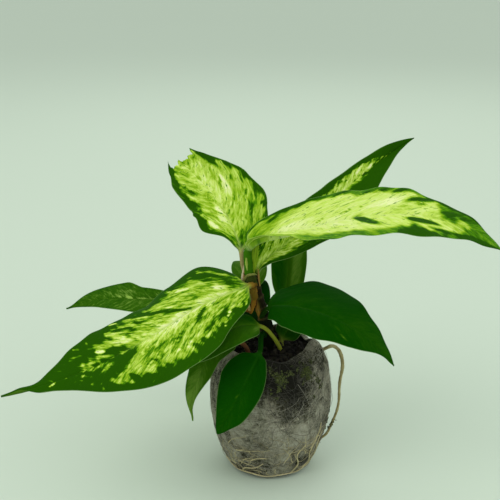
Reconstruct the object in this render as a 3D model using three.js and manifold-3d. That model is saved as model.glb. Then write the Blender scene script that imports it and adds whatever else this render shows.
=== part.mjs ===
// A young potted dieffenbachia: a clump of thirteen leaves on one main stem and on basal stalks,
// growing out of a round plug of potting mix that is held in a thin fleece wrap.
// Millimetres, +Z up. The origin is the middle of the plug's flat underside.
import * as THREE from "three";
import { mergeVertices } from "three/addons/utils/BufferGeometryUtils.js";
import Module from "manifold-3d";

const wasm = await Module();
wasm.setup();

// ---------------------------------------------------------------- driving dimensions
const GAP = 0.3; // clearance between two pieces that touch
const FLEECE_THICKNESS = 0.9;
const FOOT_RADIUS = 15; // flat spot that the plug stands on
const BELLY_RADIUS = 27.5; // widest part of the plug
const BELLY_HEIGHT = 36;
const RIM_RADIUS = 18.5; // mouth of the fleece
const RIM_HEIGHT = 59.5;
const SOIL_LEVEL = 55.5; // potting mix at the fleece
const SOIL_MOUND = 2; // how much higher it lies round the stem
const BLADE_THICKNESS = 0.7;
const NARROWEST = 0.4; // a blade's least half width, at its foot and tip

const ROUND_SIDES = 36; // sides of the plug
const PLUG_RINGS = 14;
const STEM_SIDES = 12;
const STEM_STEPS = 3; // rings between two points of the stem's line
const ROOT_SIDES = 6;
const ROOT_STEPS = 4;
const FOOT_ROOT_STEPS = 3;
const LYING_STEPS = 80; // samples of the plug's outline that a root on it is placed by
const LEAST_STALK_RINGS = 3;
const SPINE_STEPS = 40; // samples of a spine between two of its points
const STALK_RING_SPACING = 5;
const FOOT_LENGTH = 3.2; // over which the stalk turns into the blade

// Shares of a blade's length or of its half width that all the leaves have in common.
const DRIP_TIP_SHARE = 0.2; // the drawn-out tip
const RING_CROWDING = 0.1; // how much closer the rings are at the foot and the tip
const CUP_SHARE = 0.45; // where both halves stand up more steeply
const INNER_COLUMN = 0.1; // the columns beside the midrib
const TEAR_EDGE = [-1, -0.65]; // across the blade, where a torn tip goes from its spike to its cut
const RIB_THINNING = 0.6; // power with which the midrib thins to nothing at the tip
const STALK_FLATNESS = 0.25; // how much less than round a stalk is above
const STALK_ROW_REACH = 0.94; // how far round the stalk's two rows of points go, of a quarter turn

// The main stem's middle line, from inside the plug to the crown. It swells where leaves left it.
const MAIN_STEM = {
  line: [[-0.6, 0.8, 32], [-0.8, 0.4, 52], [-1.2, 0, 63], [-2.4, 0, 70.5], [-2.9, 0, 72], [-3.4, 0, 73.5],
    [-5.4, 0, 80], [-5.9, 0, 81.5], [-6.3, 0, 83], [-8, 0, 91.5]],
  radii: [3.4, 3.6, 3.4, 3, 3.3, 2.9, 2.8, 3.1, 2.8, 2.9],
};

const VARIEGATED = "#9dbf45";
const GREEN = "#1f5a12";

// One entry for each leaf. stalk runs from its root to the blade, blade from there to the tip.
// Pairs are for the left and the right half as seen from the foot. full and taper are the powers
// that shape the outline at foot and tip, drip draws its tip out, reach is how much of it is left,
// and trim is what the half width gains at each eighth of the blade. face is where the upper
// surface looks at foot and tip. fold is how far each half rises from flat at the midrib, cup how
// much more it does at the foot, and bend how far it curls on to the margin, in degrees. wave is
// the margin's height, count and phase. torn is how much of the blade is torn off its tip, all but
// a spike at the left margin.
const LEAVES = [
  {
    name: "leaf_crown_left",
    colour: VARIEGATED,
    stalk: [[-10.4, 1.4, 90], [-12, 1, 96], [-12.8, 1, 102]],
    blade: [[-14.6, 5, 107], [-17.4, 10, 112], [-23, 17.8, 120], [-31, 25.6, 127],
      [-43.4, 36, 136.6]],
    halfWidth: [16, 21], full: [0.75, 0.55], taper: [0.5, 0.8], drip: 0, reach: 0.9,
    face: [[0.35, -0.85, 0.4], [0.25, -0.85, 0.45]],
    fold: [8, 12], bend: [10, 20], stalkRadius: [1.2, 1.1],
    wave: [1.2, 3, 0.5], torn: 0.075, columns: 9, rings: 22,
    trim: [[-1, 4, 1.2, -1.5, -2.6, -2.5, -5, -6.5], [0, -1, -0.7, -2.5, -4.6, -4.5, -4, -2.2]],
  },
  {
    name: "leaf_crown_right",
    colour: VARIEGATED,
    stalk: [[-9, -2.2, 91], [-9.6, -2.8, 98], [-9.7, -3, 105]],
    blade: [[-5.6, -4.8, 109.8], [3.7, -9, 113.8], [17.5, -15.5, 119.1], [32.9, -23, 125.2],
      [42.8, -27.5, 127.8], [54.1, -31.5, 129.2], [65.5, -34, 128.3], [77, -36, 125], [90, -38, 116.4]],
    halfWidth: [19, 18], full: [0.6, 0.6], taper: [0.85, 0.85], drip: 0, reach: 1,
    face: [[0.1, -0.2, 0.98], [0.1, -0.2, 0.98]],
    fold: [8, -4], cup: 33, bend: [4, 4], stalkRadius: [2.3, 1.8],
    wave: [1, 1.5, 2.4], torn: 0, columns: 9, rings: 24,
    trim: [[-1.6, -0.4, 2.5, 1, 0, -3, -1.4, 0], [-1, -1, 0.5, 1.5, -0.6, 2.4, 1, 0]],
  },
  {
    name: "leaf_crown_back",
    colour: VARIEGATED,
    stalk: [[-6.4, 1.2, 89], [-5.9, 1.4, 92.7]],
    blade: [[-2.8, 3, 97.4], [5.7, 9, 102.1], [22.8, 22, 114], [39.5, 34, 125.3], [54, 42, 134.8],
      [68.1, 48, 142.5]],
    halfWidth: [9, 14.8], full: [0.5, 0.9], taper: [0.75, 1.3], drip: 0, reach: 1,
    face: [[-0.3, -0.8, 0.6], [-0.3, -0.8, 0.6]],
    fold: [36, 6], bend: [10, 10], stalkRadius: [1.6, 1.3],
    wave: [0.6, 2, 1], torn: 0, columns: 9, rings: 20,
    trim: [[4, 1.6, 0, -1.2, -1.4, -0.4, 0.4, 0], [-2.7, -0.3, 1.8, 0, 0, 0, 0, 0]],
  },
  {
    name: "leaf_large_left",
    colour: VARIEGATED,
    stalk: [[-7, -2, 82], [-7.9, -5.6, 86.8], [-9.2, -7.8, 89.8]],
    blade: [[-30.7, -16, 83.6], [-51.1, -28, 74.2], [-67.1, -37, 68.6], [-85.6, -45, 63.4],
      [-108, -52, 59.4]],
    halfWidth: [26.5, 24.5], full: [0.6, 0.58], taper: [1.1, 1.2], drip: 0.75, reach: 1,
    face: [[-0.25, -0.45, 0.85], [-0.25, -0.45, 0.85]],
    fold: [8, 8], bend: [-25, -20], stalkRadius: [1.7, 1.5],
    wave: [2, 1.25, 0.36], torn: 0, columns: 9, rings: 24,
    trim: [[-2.8, -0.9, -2, -2.4, -3.8, -4.6, -1.2, 0], [3.4, -3.2, -5.1, -3.2, -0.8, 0.6, 0, 0]],
  },
  {
    name: "leaf_back_left",
    colour: GREEN,
    stalk: [[-5.5, 1, 74], [-12, 6, 78.5], [-22, 11, 78]],
    blade: [[-32, 16, 75], [-44.1, 22, 71.6], [-56.6, 28, 69], [-71.7, 34, 66.6], [-84.8, 40, 63.6],
      [-100.2, 44, 57.8]],
    halfWidth: [8, 9.6], full: [0.8, 1.3], taper: [0.9, 0.8], drip: 0.7, reach: 1,
    face: [[-0.1, -0.6, 0.8], [-0.1, -0.6, 0.8]],
    fold: [8, 8], bend: [-10, -10], stalkRadius: [1.5, 1.3],
    wave: [0.6, 2, 0], torn: 0, columns: 7, rings: 18,
    trim: [[0, 0, 0, 0, 0, 0, 0.6, 0], [-0.4, -1.6, -3.2, -3, 0, 0.8, 1.2, 0]],
  },
  {
    name: "leaf_low_right",
    colour: GREEN,
    stalk: [[-4.5, -0.8, 71], [-3.2, -3.2, 75], [-1.2, -5.4, 78]],
    blade: [[1.6, -7.6, 80.6], [10.7, -14, 82.8], [22.5, -22, 82.4], [32.5, -28, 79.6], [42, -31, 73.4],
      [51, -32, 63.3]],
    halfWidth: [18, 14], full: [0.42, 0.45], taper: [0.95, 1.05], drip: 0, reach: 1,
    face: [[0.1, -0.5, 0.85], [0.3, -0.5, 0.75]],
    fold: [2, 2], bend: [-18, -18], stalkRadius: [1.4, 1.2],
    wave: [0.5, 2, 0], torn: 0, columns: 9, rings: 18,
    trim: [[0.6, 0.8, 1.2, 1.5, 1, 0, -0.4, 0], [-3, -1.2, 0, 1, 0, -0.1, -1.5, 0]],
  },
  {
    name: "leaf_low_front",
    colour: GREEN,
    stalk: [[-2, -1.6, 63.4], [-3.4, -6.8, 66.8], [-4.3, -12.4, 66.8], [-4.8, -17.5, 62.8]],
    blade: [[-9.2, -25, 56.2], [-13.4, -32.5, 50.2], [-17.4, -36.5, 43.2], [-22.9, -38.4, 34.9]],
    halfWidth: [9.2, 9], full: [0.55, 0.55], taper: [0.75, 0.8], drip: 0, reach: 1,
    face: [[0.1, -0.75, 0.65], [-0.1, -0.9, 0.5]],
    fold: [6, 6], bend: [-12, -12], stalkRadius: [1.2, 1.1],
    wave: [0.3, 2, 0], torn: 0, columns: 7, rings: 16,
    trim: [[-1.2, -0.9, -0.7, -0.6, -0.5, -0.3, -0.7, 0], [1.5, 2.2, 2.2, 1.3, 0.7, 0.3, 0, 0]],
  },
  {
    name: "leaf_low_left",
    colour: GREEN,
    stalk: [[5.4, -4, 48], [4.9, -4.4, 57], [0.6, -7.6, 66.4], [-4.4, -10.6, 72]],
    blade: [[-13.3, -17, 75], [-21.7, -23, 72.5], [-29.6, -27, 68], [-37, -30, 63]],
    halfWidth: [9, 8.6], full: [0.55, 0.5], taper: [0.8, 0.8], drip: 0, reach: 1,
    face: [[-0.1, -0.55, 0.85], [-0.3, -0.5, 0.8]],
    fold: [6, 6], bend: [-12, -12], stalkRadius: [1, 0.9],
    wave: [0.4, 2, 0], torn: 0, columns: 7, rings: 14,
  },
  {
    name: "leaf_low_far_left",
    colour: GREEN,
    stalk: [[-9.4, -4.6, 48], [-10.2, -5.4, 58], [-14.6, -9, 63.4]],
    blade: [[-25.6, -15, 61.4], [-31, -21, 52.4], [-34.2, -25, 42.8], [-33.7, -27, 34.6]],
    halfWidth: [6.4, 6.4], full: [0.5, 0.5], taper: [0.9, 0.9], drip: 0.7, reach: 1,
    face: [[-0.4, -0.6, 0.7], [-0.5, -0.8, 0.3]],
    fold: [10, 10], bend: [-10, -10], stalkRadius: [1.2, 1],
    wave: [0.3, 2, 0], torn: 0, columns: 7, rings: 14,
    trim: [[0, 0, 0, 0, -0.6, -0.8, -0.4, 0], [0, 0, 0, 0, 0, 0, 0, 0]],
  },
  {
    name: "leaf_back_right",
    colour: GREEN,
    stalk: [[4.4, 7.4, 48], [5.4, 9, 60], [7.2, 13.4, 73]],
    blade: [[8.1, 18, 80.6], [9.2, 26, 91], [11.3, 34, 100], [14, 41, 108]],
    halfWidth: [8.6, 9], full: [0.5, 0.5], taper: [0.8, 0.8], drip: 0, reach: 1,
    face: [[0, -0.85, 0.5], [0, -0.8, 0.6]],
    fold: [18, 18], bend: [6, 6], stalkRadius: [1.3, 1.1],
    wave: [0.3, 2, 0], torn: 0, columns: 7, rings: 14,
  },
  {
    name: "leaf_back_small",
    colour: GREEN,
    stalk: [[-5.4, 8.6, 48], [-7.4, 9, 66], [-9, 10.5, 80]],
    blade: [[-8.6, 18, 86], [-9, 30, 87], [-10, 42, 80]],
    halfWidth: [9, 7.6], full: [0.5, 0.5], taper: [0.8, 0.8], drip: 0, reach: 1,
    face: [[0, -0.6, 0.8], [0, 0.3, 0.95]],
    fold: [6, 6], bend: [-10, -10], stalkRadius: [1.2, 1],
    wave: [0.3, 2, 0], torn: 0, columns: 7, rings: 12,
  },
  {
    name: "leaf_low_under",
    colour: GREEN,
    stalk: [[6.4, 1.6, 48], [5.4, 0.6, 57], [5.2, 0.2, 60]],
    blade: [[7.8, 2, 64.4], [12.4, 5, 70.8], [17.6, 8, 76]],
    halfWidth: [5.6, 6.4], full: [0.4, 0.4], taper: [0.8, 0.8], drip: 0, reach: 1,
    face: [[-0.3, -0.85, 0.4], [-0.3, -0.85, 0.4]],
    fold: [8, 8], bend: [-10, -10], stalkRadius: [1.1, 1],
    wave: [0.3, 2, 0], torn: 0, columns: 7, rings: 12,
  },
  {
    name: "leaf_back_low",
    colour: GREEN,
    stalk: [[0.4, 6.4, 48], [-0.4, 7, 60], [-2.4, 8.4, 72]],
    blade: [[-3.4, 13, 78], [-4.6, 21, 80.6], [-6, 29, 78]],
    halfWidth: [4.6, 3.8], full: [0.5, 0.5], taper: [0.8, 0.8], drip: 0, reach: 1,
    face: [[0, -0.6, 0.8], [0, 0.2, 0.95]],
    fold: [6, 6], bend: [-10, -10], stalkRadius: [1.2, 1],
    wave: [0.3, 2, 0], torn: 0, columns: 7, rings: 12,
  },
];

// The aerial root that leaves the plug's shoulder and comes back to its side.
const AERIAL_ROOT = {
  line: [[20, 0, 53], [24.7, 0, 56.4], [28.4, 0, 57.6], [31.6, 0, 55], [32.8, 0, 49.6], [32.3, 0, 40],
    [31.7, 0, 30], [30.2, 0, 21], [26.8, 0, 13.6], [22, 0, 8.6]],
  radii: [0.8, 0.8, 0.8, 0.85, 0.85, 0.7, 0.6, 0.6, 0.6, 0.5],
};

// Roots that lie on the fleece round its foot: each strand's points as turn in degrees and height.
// The first runs along the foot and the others grow from it.
const FOOT_ROOTS = [
  {
    path: [[-165, 4], [-140, 2.4], [-115, 3.2], [-95, 2], [-70, 3], [-48, 2.2], [-25, 3.4], [5, 5]],
    radius: 0.6,
  },
  { path: [[-62, 2.7], [-56, 8], [-60, 14], [-52, 19]], radius: 0.55 },
  { path: [[-44, 2.4], [-37, 7], [-42, 13], [-33, 20], [-30, 26]], radius: 0.55 },
  { path: [[-25, 3.4], [-23, 9], [-28, 15], [-21, 20]], radius: 0.5 },
  { path: [[-128, 2.8], [-122, 6], [-108, 7.6], [-98, 10.5]], radius: 0.5 },
];

// ---------------------------------------------------------------- small helpers
const radians = THREE.MathUtils.degToRad;
const vector = (xyz) => new THREE.Vector3(...xyz);
const smooth = (low, high, x) => THREE.MathUtils.smoothstep(x, low, high);

// A closed manifold solid from a closed BufferGeometry.
function solidOf(geometry) {
  const bare = new THREE.BufferGeometry().setAttribute("position", geometry.getAttribute("position"));
  if (geometry.index) bare.setIndex(geometry.index);
  const merged = mergeVertices(bare, 1e-4);
  return new wasm.Manifold(
    new wasm.Mesh({
      numProp: 3,
      vertProperties: new Float32Array(merged.attributes.position.array),
      triVerts: new Uint32Array(merged.index.array),
    }),
  );
}

// The largest single body of a solid as a BufferGeometry.
function geometryOf(solid) {
  const whole = solid.decompose().sort((a, b) => b.volume() - a.volume())[0];
  const mesh = whole.getMesh();
  const geometry = new THREE.BufferGeometry();
  geometry.setAttribute("position", new THREE.BufferAttribute(new Float32Array(mesh.vertProperties), 3));
  geometry.setIndex(new THREE.BufferAttribute(new Uint32Array(mesh.triVerts), 1));
  geometry.computeVertexNormals();
  return geometry;
}

// A closed surface through rings of equally many points. Each end is closed by a strip across the ring.
function loft(rings) {
  const around = rings[0].length;
  const faces = [];
  for (let i = 0; i + 1 < rings.length; i++) {
    for (let j = 0; j < around; j++) {
      const a = i * around + j;
      const b = i * around + ((j + 1) % around);
      // the lower row's diagonals run the other way, so that both faces are split alike
      if (j < around / 2) faces.push(a, b, b + around, a, b + around, a + around);
      else faces.push(a, b, a + around, b, b + around, a + around);
    }
  }
  const end = (rings.length - 1) * around;
  for (let j = 0; j + 1 < around / 2; j++) {
    const k = around - 1 - j;
    faces.push(j, k, k - 1, j, k - 1, j + 1);
    faces.push(end + j, end + k - 1, end + k, end + j, end + j + 1, end + k - 1);
  }
  const geometry = new THREE.BufferGeometry().setFromPoints(rings.flat());
  geometry.setIndex(faces);
  return geometry;
}

// A smooth line through points, which gives the place and direction at a distance along it.
class Spine {
  constructor(points) {
    const curve = new THREE.CatmullRomCurve3(points.map(vector), false, "catmullrom", 0.5);
    const count = (points.length - 1) * SPINE_STEPS;
    this.points = curve.getPoints(count);
    this.reached = [0];
    for (let i = 1; i <= count; i++) {
      this.reached.push(this.reached[i - 1] + this.points[i].distanceTo(this.points[i - 1]));
    }
    this.length = this.reached[count];
  }

  lengthAtPoint(index) {
    return this.reached[index * SPINE_STEPS];
  }

  at(distance) {
    const wanted = THREE.MathUtils.clamp(distance, 0, this.length);
    let i = this.reached.findIndex((d) => d >= wanted);
    i = THREE.MathUtils.clamp(i, 1, this.points.length - 1);
    const share = (wanted - this.reached[i - 1]) / (this.reached[i] - this.reached[i - 1]);
    const before = this.points[i - 1];
    const after = this.points[i];
    const ahead = this.points[Math.min(i + 1, this.points.length - 1)];
    const behind = this.points[Math.max(i - 2, 0)];
    return {
      place: before.clone().lerp(after, share),
      along: ahead.clone().sub(behind).normalize(),
    };
  }
}

// A round rod along a line, with a radius for each of the line's points. Grown, it is that much
// larger all round, its ends too.
function rod({ line, radii }, sides, steps, grow = 0) {
  const spine = new Spine(line);
  const count = (line.length - 1) * steps;
  const rings = [];
  let side = new THREE.Vector3(0.31, 0.17, 0.93);
  for (let i = 0; i <= count; i++) {
    const at = i / steps;
    const low = Math.min(Math.floor(at), line.length - 2);
    const from = spine.lengthAtPoint(low);
    const to = spine.lengthAtPoint(low + 1);
    const { place, along } = spine.at(from + (at - low) * (to - from));
    if (i === 0) place.addScaledVector(along, -grow);
    if (i === count) place.addScaledVector(along, grow);
    const radius = THREE.MathUtils.lerp(radii[low], radii[low + 1], at - low) + grow;
    side = side.clone().addScaledVector(along, -side.dot(along)).normalize();
    const up = along.clone().cross(side);
    rings.push(
      Array.from({ length: sides }, (_, j) => {
        const turn = (2 * Math.PI * (j + 0.5)) / sides;
        return place
          .clone()
          .addScaledVector(side, radius * Math.cos(turn))
          .addScaledVector(up, radius * Math.sin(turn));
      }),
    );
  }
  return solidOf(loft(rings));
}

// ---------------------------------------------------------------- leaves
class Leaf {
  constructor(spec) {
    Object.assign(this, spec);
    this.spine = new Spine([...spec.stalk, ...spec.blade]);
    this.stalkLength = this.spine.lengthAtPoint(spec.stalk.length - 1);
    this.bladeLength = this.spine.length - this.stalkLength;
    this.faceAtFoot = vector(spec.face[0]).normalize();
    this.faceAtTip = vector(spec.face[1]).normalize();
  }

  // Place, side and up of the midrib at a distance along the spine.
  frame(distance) {
    const { place, along } = this.spine.at(distance);
    const share = THREE.MathUtils.clamp((distance - this.stalkLength) / this.bladeLength, 0, 1);
    const face = this.faceAtFoot.clone().lerp(this.faceAtTip, share);
    const up = face.addScaledVector(along, -face.dot(along)).normalize();
    return { place, along, up, side: along.clone().cross(up) };
  }

  // Half width at share s of the blade: a power curve at the foot times one at the tip.
  halfWidthAt(s, which) {
    const x = THREE.MathUtils.clamp(s * this.reach, 0, 1);
    const full = this.full[which];
    const taper = this.taper[which];
    const widest = full / (full + taper);
    const narrowed = 1 - this.drip * Math.exp(-(((1 - x) / DRIP_TIP_SHARE) ** 2));
    const curve = (x / widest) ** full * ((1 - x) / (1 - widest)) ** taper * narrowed;
    return Math.max(this.halfWidth[which] * curve + this.trimAt(s, which), NARROWEST);
  }

  // The outline's small irregularities, eased from one eighth of the blade to the next.
  trimAt(s, which) {
    if (!this.trim) return 0;
    const values = [0, ...this.trim[which]];
    const at = THREE.MathUtils.clamp(s, 0, 1) * (values.length - 1);
    const low = Math.min(Math.floor(at), values.length - 2);
    return THREE.MathUtils.lerp(values[low], values[low + 1], smooth(0, 1, at - low));
  }

  // Point of the blade's middle surface at share s of its length and t from -1 to 1 across it.
  // Each half leaves the midrib at its fold angle and then follows an arc of its bend angle.
  bladePoint(s, t) {
    const notch = this.torn * smooth(...TEAR_EDGE, t);
    const share = s * (1 - notch);
    const { place, up, side } = this.frame(this.stalkLength + share * this.bladeLength);
    const which = t < 0 ? 0 : 1;
    const half = this.halfWidthAt(share, which);
    const fold = radians(this.fold[which] + (this.cup ?? 0) * (1 - smooth(0, CUP_SHARE, share)));
    const bend = radians(this.bend[which]) || 1e-6;
    const reach = Math.abs(t);
    const across = (half * (Math.sin(fold + bend * reach) - Math.sin(fold))) / bend;
    const rise = (half * (Math.cos(fold) - Math.cos(fold + bend * reach))) / bend;
    const [height, count, phase] = this.wave;
    const swell = Math.sin(Math.PI * share);
    const ripple = height * swell * reach ** 2 * Math.sin(2 * Math.PI * count * share + phase + which * 2);
    return place
      .clone()
      .addScaledVector(side, Math.sign(t) * across)
      .addScaledVector(up, rise + ripple);
  }

  // Columns across the blade, closer together at the midrib.
  columnPlaces() {
    const half = (this.columns - 1) / 2;
    const places = [0];
    for (let i = 1; i <= half; i++) {
      const t = INNER_COLUMN + ((1 - INNER_COLUMN) * (i - 1)) / (half - 1);
      places.push(t);
      places.unshift(-t);
    }
    return places;
  }

  // Stalk and blade in one closed loft. A ring is an upper row and, backwards, a lower row.
  solid() {
    const columns = this.columnPlaces();
    const rings = this.stalkRings(0).slice(0, -1);
    for (let i = 0; i <= this.rings; i++) {
      const even = i / this.rings;
      const s = even - RING_CROWDING * Math.sin(2 * Math.PI * even);
      rings.push(this.bladeRing(s, columns));
    }
    return solidOf(loft(rings));
  }

  stalkRadiusAt(distance) {
    const share = THREE.MathUtils.clamp(distance / this.stalkLength, 0, 1);
    return THREE.MathUtils.lerp(this.stalkRadius[0], this.stalkRadius[1], share);
  }

  // Round below and a little flatter above.
  stalkRing(distance, columns, grow) {
    const { place, along, up, side } = this.frame(distance);
    if (distance === 0) place.addScaledVector(along, -grow);
    const radius = this.stalkRadiusAt(distance) + grow;
    const row = (height) =>
      columns.map((t) => {
        const angle = (Math.PI / 2) * t * STALK_ROW_REACH;
        return place
          .clone()
          .addScaledVector(side, radius * Math.sin(angle))
          .addScaledVector(up, height * Math.cos(angle));
      });
    const above = radius - STALK_FLATNESS * this.stalkRadiusAt(distance);
    return [...row(above), ...row(-radius).reverse()];
  }

  stalkRings(grow) {
    const count = Math.max(LEAST_STALK_RINGS, Math.round(this.stalkLength / STALK_RING_SPACING));
    const columns = this.columnPlaces();
    return Array.from({ length: count + 1 }, (_, i) =>
      this.stalkRing((this.stalkLength * i) / count, columns, grow),
    );
  }

  // The blade's middle surface, half a thickness up and down, with the midrib standing out below.
  bladeRing(s, columns) {
    const step = 1e-3;
    const distance = this.stalkLength + s * this.bladeLength;
    const { up } = this.frame(distance);
    const rib = this.stalkRadius[1] * (1 - s) ** RIB_THINNING;
    const stalk = this.stalkRing(distance, columns, 0);
    const blend = smooth(0, FOOT_LENGTH, s * this.bladeLength);
    const upper = [];
    const lower = [];
    columns.forEach((t, j) => {
      const middle = this.bladePoint(s, t);
      const right = this.bladePoint(s, Math.min(t + step, 1));
      const left = this.bladePoint(s, Math.max(t - step, -1));
      const ahead = this.bladePoint(Math.min(s + step, 1), t);
      const behind = this.bladePoint(Math.max(s - step, 0), t);
      const normal = right.sub(left).cross(ahead.sub(behind));
      if (normal.dot(up) < 0) normal.negate();
      if (normal.lengthSq() < 1e-12) normal.copy(up);
      normal.normalize();
      const depth = t === 0 ? rib : 0;
      const top = middle.clone().addScaledVector(normal, BLADE_THICKNESS / 2);
      const bottom = middle.clone().addScaledVector(normal, -BLADE_THICKNESS / 2 - depth);
      upper.push(stalk[j].clone().lerp(top, blend));
      lower.push(stalk[2 * columns.length - 1 - j].clone().lerp(bottom, blend));
    });
    return [...upper, ...lower.reverse()];
  }

  // The stalk alone, thicker by grow: what a hole for it is cut with.
  stalkSolid(grow) {
    return solidOf(loft(this.stalkRings(grow)));
  }
}

// ---------------------------------------------------------------- plug
// The fleece's outline from the middle of its underside to its mouth: radius, height.
const PLUG_OUTLINE = [
  [FOOT_RADIUS, 0],
  [FOOT_RADIUS + 4.4, 2.6],
  [BELLY_RADIUS - 4, 12],
  [BELLY_RADIUS - 1, 24],
  [BELLY_RADIUS, BELLY_HEIGHT],
  [BELLY_RADIUS - 1.4, 46.5],
  [BELLY_RADIUS - 3.8, 53],
  [RIM_RADIUS + 2.4, 57.8],
  [RIM_RADIUS, RIM_HEIGHT],
];

// The outline moved in by a distance, as points of radius and height.
function plugOutline(inset, steps) {
  const curve = new THREE.SplineCurve(PLUG_OUTLINE.map(([r, z]) => new THREE.Vector2(r, z)));
  return Array.from({ length: steps + 1 }, (_, i) => {
    const point = curve.getPoint(i / steps);
    const along = curve.getTangent(i / steps);
    return new THREE.Vector2(point.x - inset * along.y, point.y + inset * along.x);
  });
}

// Fleece isn't a true round: shallow folds run up it and the right shoulder bulges.
const FOLDS = [
  { share: 0.011, count: 5, phase: 0.6 },
  { share: 0.008, count: 9, phase: 2.1 },
];
const FOLDS_FADE_IN = [2, 20]; // heights
const SHOULDER = { turn: -25, narrowness: 20, heights: [38, 56], wider: 0.05, higher: 1.6 };

function plugPlace(radius, height, turn) {
  const waves = FOLDS.map(({ share, count, phase }) => share * Math.sin(count * turn + phase));
  const folds = smooth(...FOLDS_FADE_IN, height) * waves.reduce((sum, wave) => sum + wave);
  const away = 1 - Math.cos(turn - radians(SHOULDER.turn));
  const shoulder = smooth(...SHOULDER.heights, height) * Math.exp(-SHOULDER.narrowness * away ** 2);
  const wide = radius * (1 + folds + SHOULDER.wider * shoulder);
  const raised = height + SHOULDER.higher * shoulder;
  return new THREE.Vector3(wide * Math.cos(turn), wide * Math.sin(turn), raised);
}

// A closed surface round the Z axis from outlines of radius and height, with a centre point at each end.
function turned(outline, lowCentre, highCentre, place) {
  const positions = [new THREE.Vector3(0, 0, lowCentre)];
  outline.forEach((p) => {
    for (let j = 0; j < ROUND_SIDES; j++) positions.push(place(p.x, p.y, (2 * Math.PI * j) / ROUND_SIDES));
  });
  positions.push(new THREE.Vector3(0, 0, highCentre));
  const faces = [];
  const last = positions.length - 1;
  const base = (i) => 1 + i * ROUND_SIDES;
  for (let j = 0; j < ROUND_SIDES; j++) {
    const next = (j + 1) % ROUND_SIDES;
    faces.push(0, base(0) + next, base(0) + j);
    for (let i = 0; i + 1 < outline.length; i++) {
      faces.push(base(i) + j, base(i) + next, base(i + 1) + next);
      faces.push(base(i) + j, base(i + 1) + next, base(i + 1) + j);
    }
    faces.push(last, base(outline.length - 1) + j, base(outline.length - 1) + next);
  }
  const geometry = new THREE.BufferGeometry().setFromPoints(positions);
  geometry.setIndex(faces);
  return solidOf(geometry);
}

function fleeceSolid() {
  const outside = plugOutline(0, PLUG_RINGS);
  const inside = plugOutline(FLEECE_THICKNESS, PLUG_RINGS).reverse();
  return turned([...outside, ...inside], 0, FLEECE_THICKNESS, plugPlace);
}

// Potting mix fills the fleece and shows a crumbly, slightly raised top.
const SOIL_TOP_SHARES = [0.86, 0.7, 0.54, 0.36, 0.18]; // radii of its rings, as shares of its edge's
const SOIL_EDGE_DROP = 1.5; // how much lower than its level it meets the fleece
const SOIL_LUMPS = [
  { height: 0.5, lobes: 4, twist: 1, phase: 0 },
  { height: 0.4, lobes: 7, twist: -0.8, phase: 0 },
  { height: 0.3, lobes: 0, twist: 1.3, phase: Math.PI / 2 },
];
const SOIL_LUMPS_FADE_IN = [0, 5]; // radii

function soilTop(radius, turn) {
  const waves = SOIL_LUMPS.map(
    ({ height, lobes, twist, phase }) => height * Math.sin(lobes * turn + twist * radius + phase),
  );
  const lumps = smooth(...SOIL_LUMPS_FADE_IN, radius) * waves.reduce((sum, wave) => sum + wave);
  return SOIL_LEVEL + SOIL_MOUND * (1 - radius / RIM_RADIUS) + lumps;
}

function soilSolid(cutters) {
  const outline = plugOutline(FLEECE_THICKNESS + GAP, PLUG_RINGS);
  const wall = outline.filter((p) => p.y < SOIL_LEVEL - SOIL_EDGE_DROP);
  const edge = wall[wall.length - 1];
  const top = SOIL_TOP_SHARES.map((share) => new THREE.Vector2(edge.x * share, SOIL_LEVEL));
  const place = (radius, height, turn) => {
    const at = plugPlace(radius, height, turn);
    return height < SOIL_LEVEL ? at : new THREE.Vector3(at.x, at.y, soilTop(radius, turn));
  };
  const whole = turned([...wall, ...top], FLEECE_THICKNESS + GAP, soilTop(0, 0), place);
  return cutters.reduce((solid, cutter) => solid.subtract(cutter), whole);
}

const ROOT_LIFT = 0.15; // how much more than the clearance a root's facets need

// The plug's outside with room round it: what roots that lie on it are trimmed by.
function plugClearance() {
  return turned(plugOutline(-GAP, PLUG_RINGS), -1, RIM_HEIGHT, plugPlace);
}

// Where a root of that radius lies on the fleece at a turn and height.
function onPlug(turn, height, radius) {
  const outline = plugOutline(0, LYING_STEPS);
  const above = outline.findIndex((p) => p.y >= height);
  const low = outline[above - 1];
  const share = (height - low.y) / (outline[above].y - low.y);
  const surface = THREE.MathUtils.lerp(low.x, outline[above].x, share);
  const slope = (outline[above].y - low.y) / outline[above].distanceTo(low);
  const at = plugPlace(surface, height, radians(turn));
  const lift = 1 + (radius + GAP + ROOT_LIFT) / slope / Math.hypot(at.x, at.y);
  return [at.x * lift, at.y * lift, at.z];
}

function footRootsSolid() {
  return FOOT_ROOTS.map(({ path, radius }) => {
    const line = path.map(([turn, height]) => onPlug(turn, height, radius));
    return rod({ line, radii: line.map(() => radius) }, ROOT_SIDES, FOOT_ROOT_STEPS);
  }).reduce((all, strand) => all.add(strand));
}

// ---------------------------------------------------------------- assembly
const plant = new THREE.Group();

function add(name, solid, colour, roughness) {
  const material = new THREE.MeshStandardMaterial({ color: colour, roughness, metalness: 0 });
  const mesh = new THREE.Mesh(geometryOf(solid), material);
  mesh.name = name;
  plant.add(mesh);
}

const leaves = LEAVES.map((spec) => new Leaf(spec));
const stemRoom = rod(MAIN_STEM, STEM_SIDES, STEM_STEPS, GAP);
const stalkRooms = leaves.map((leaf) => leaf.stalkSolid(GAP));
const plugRoom = plugClearance();

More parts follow.
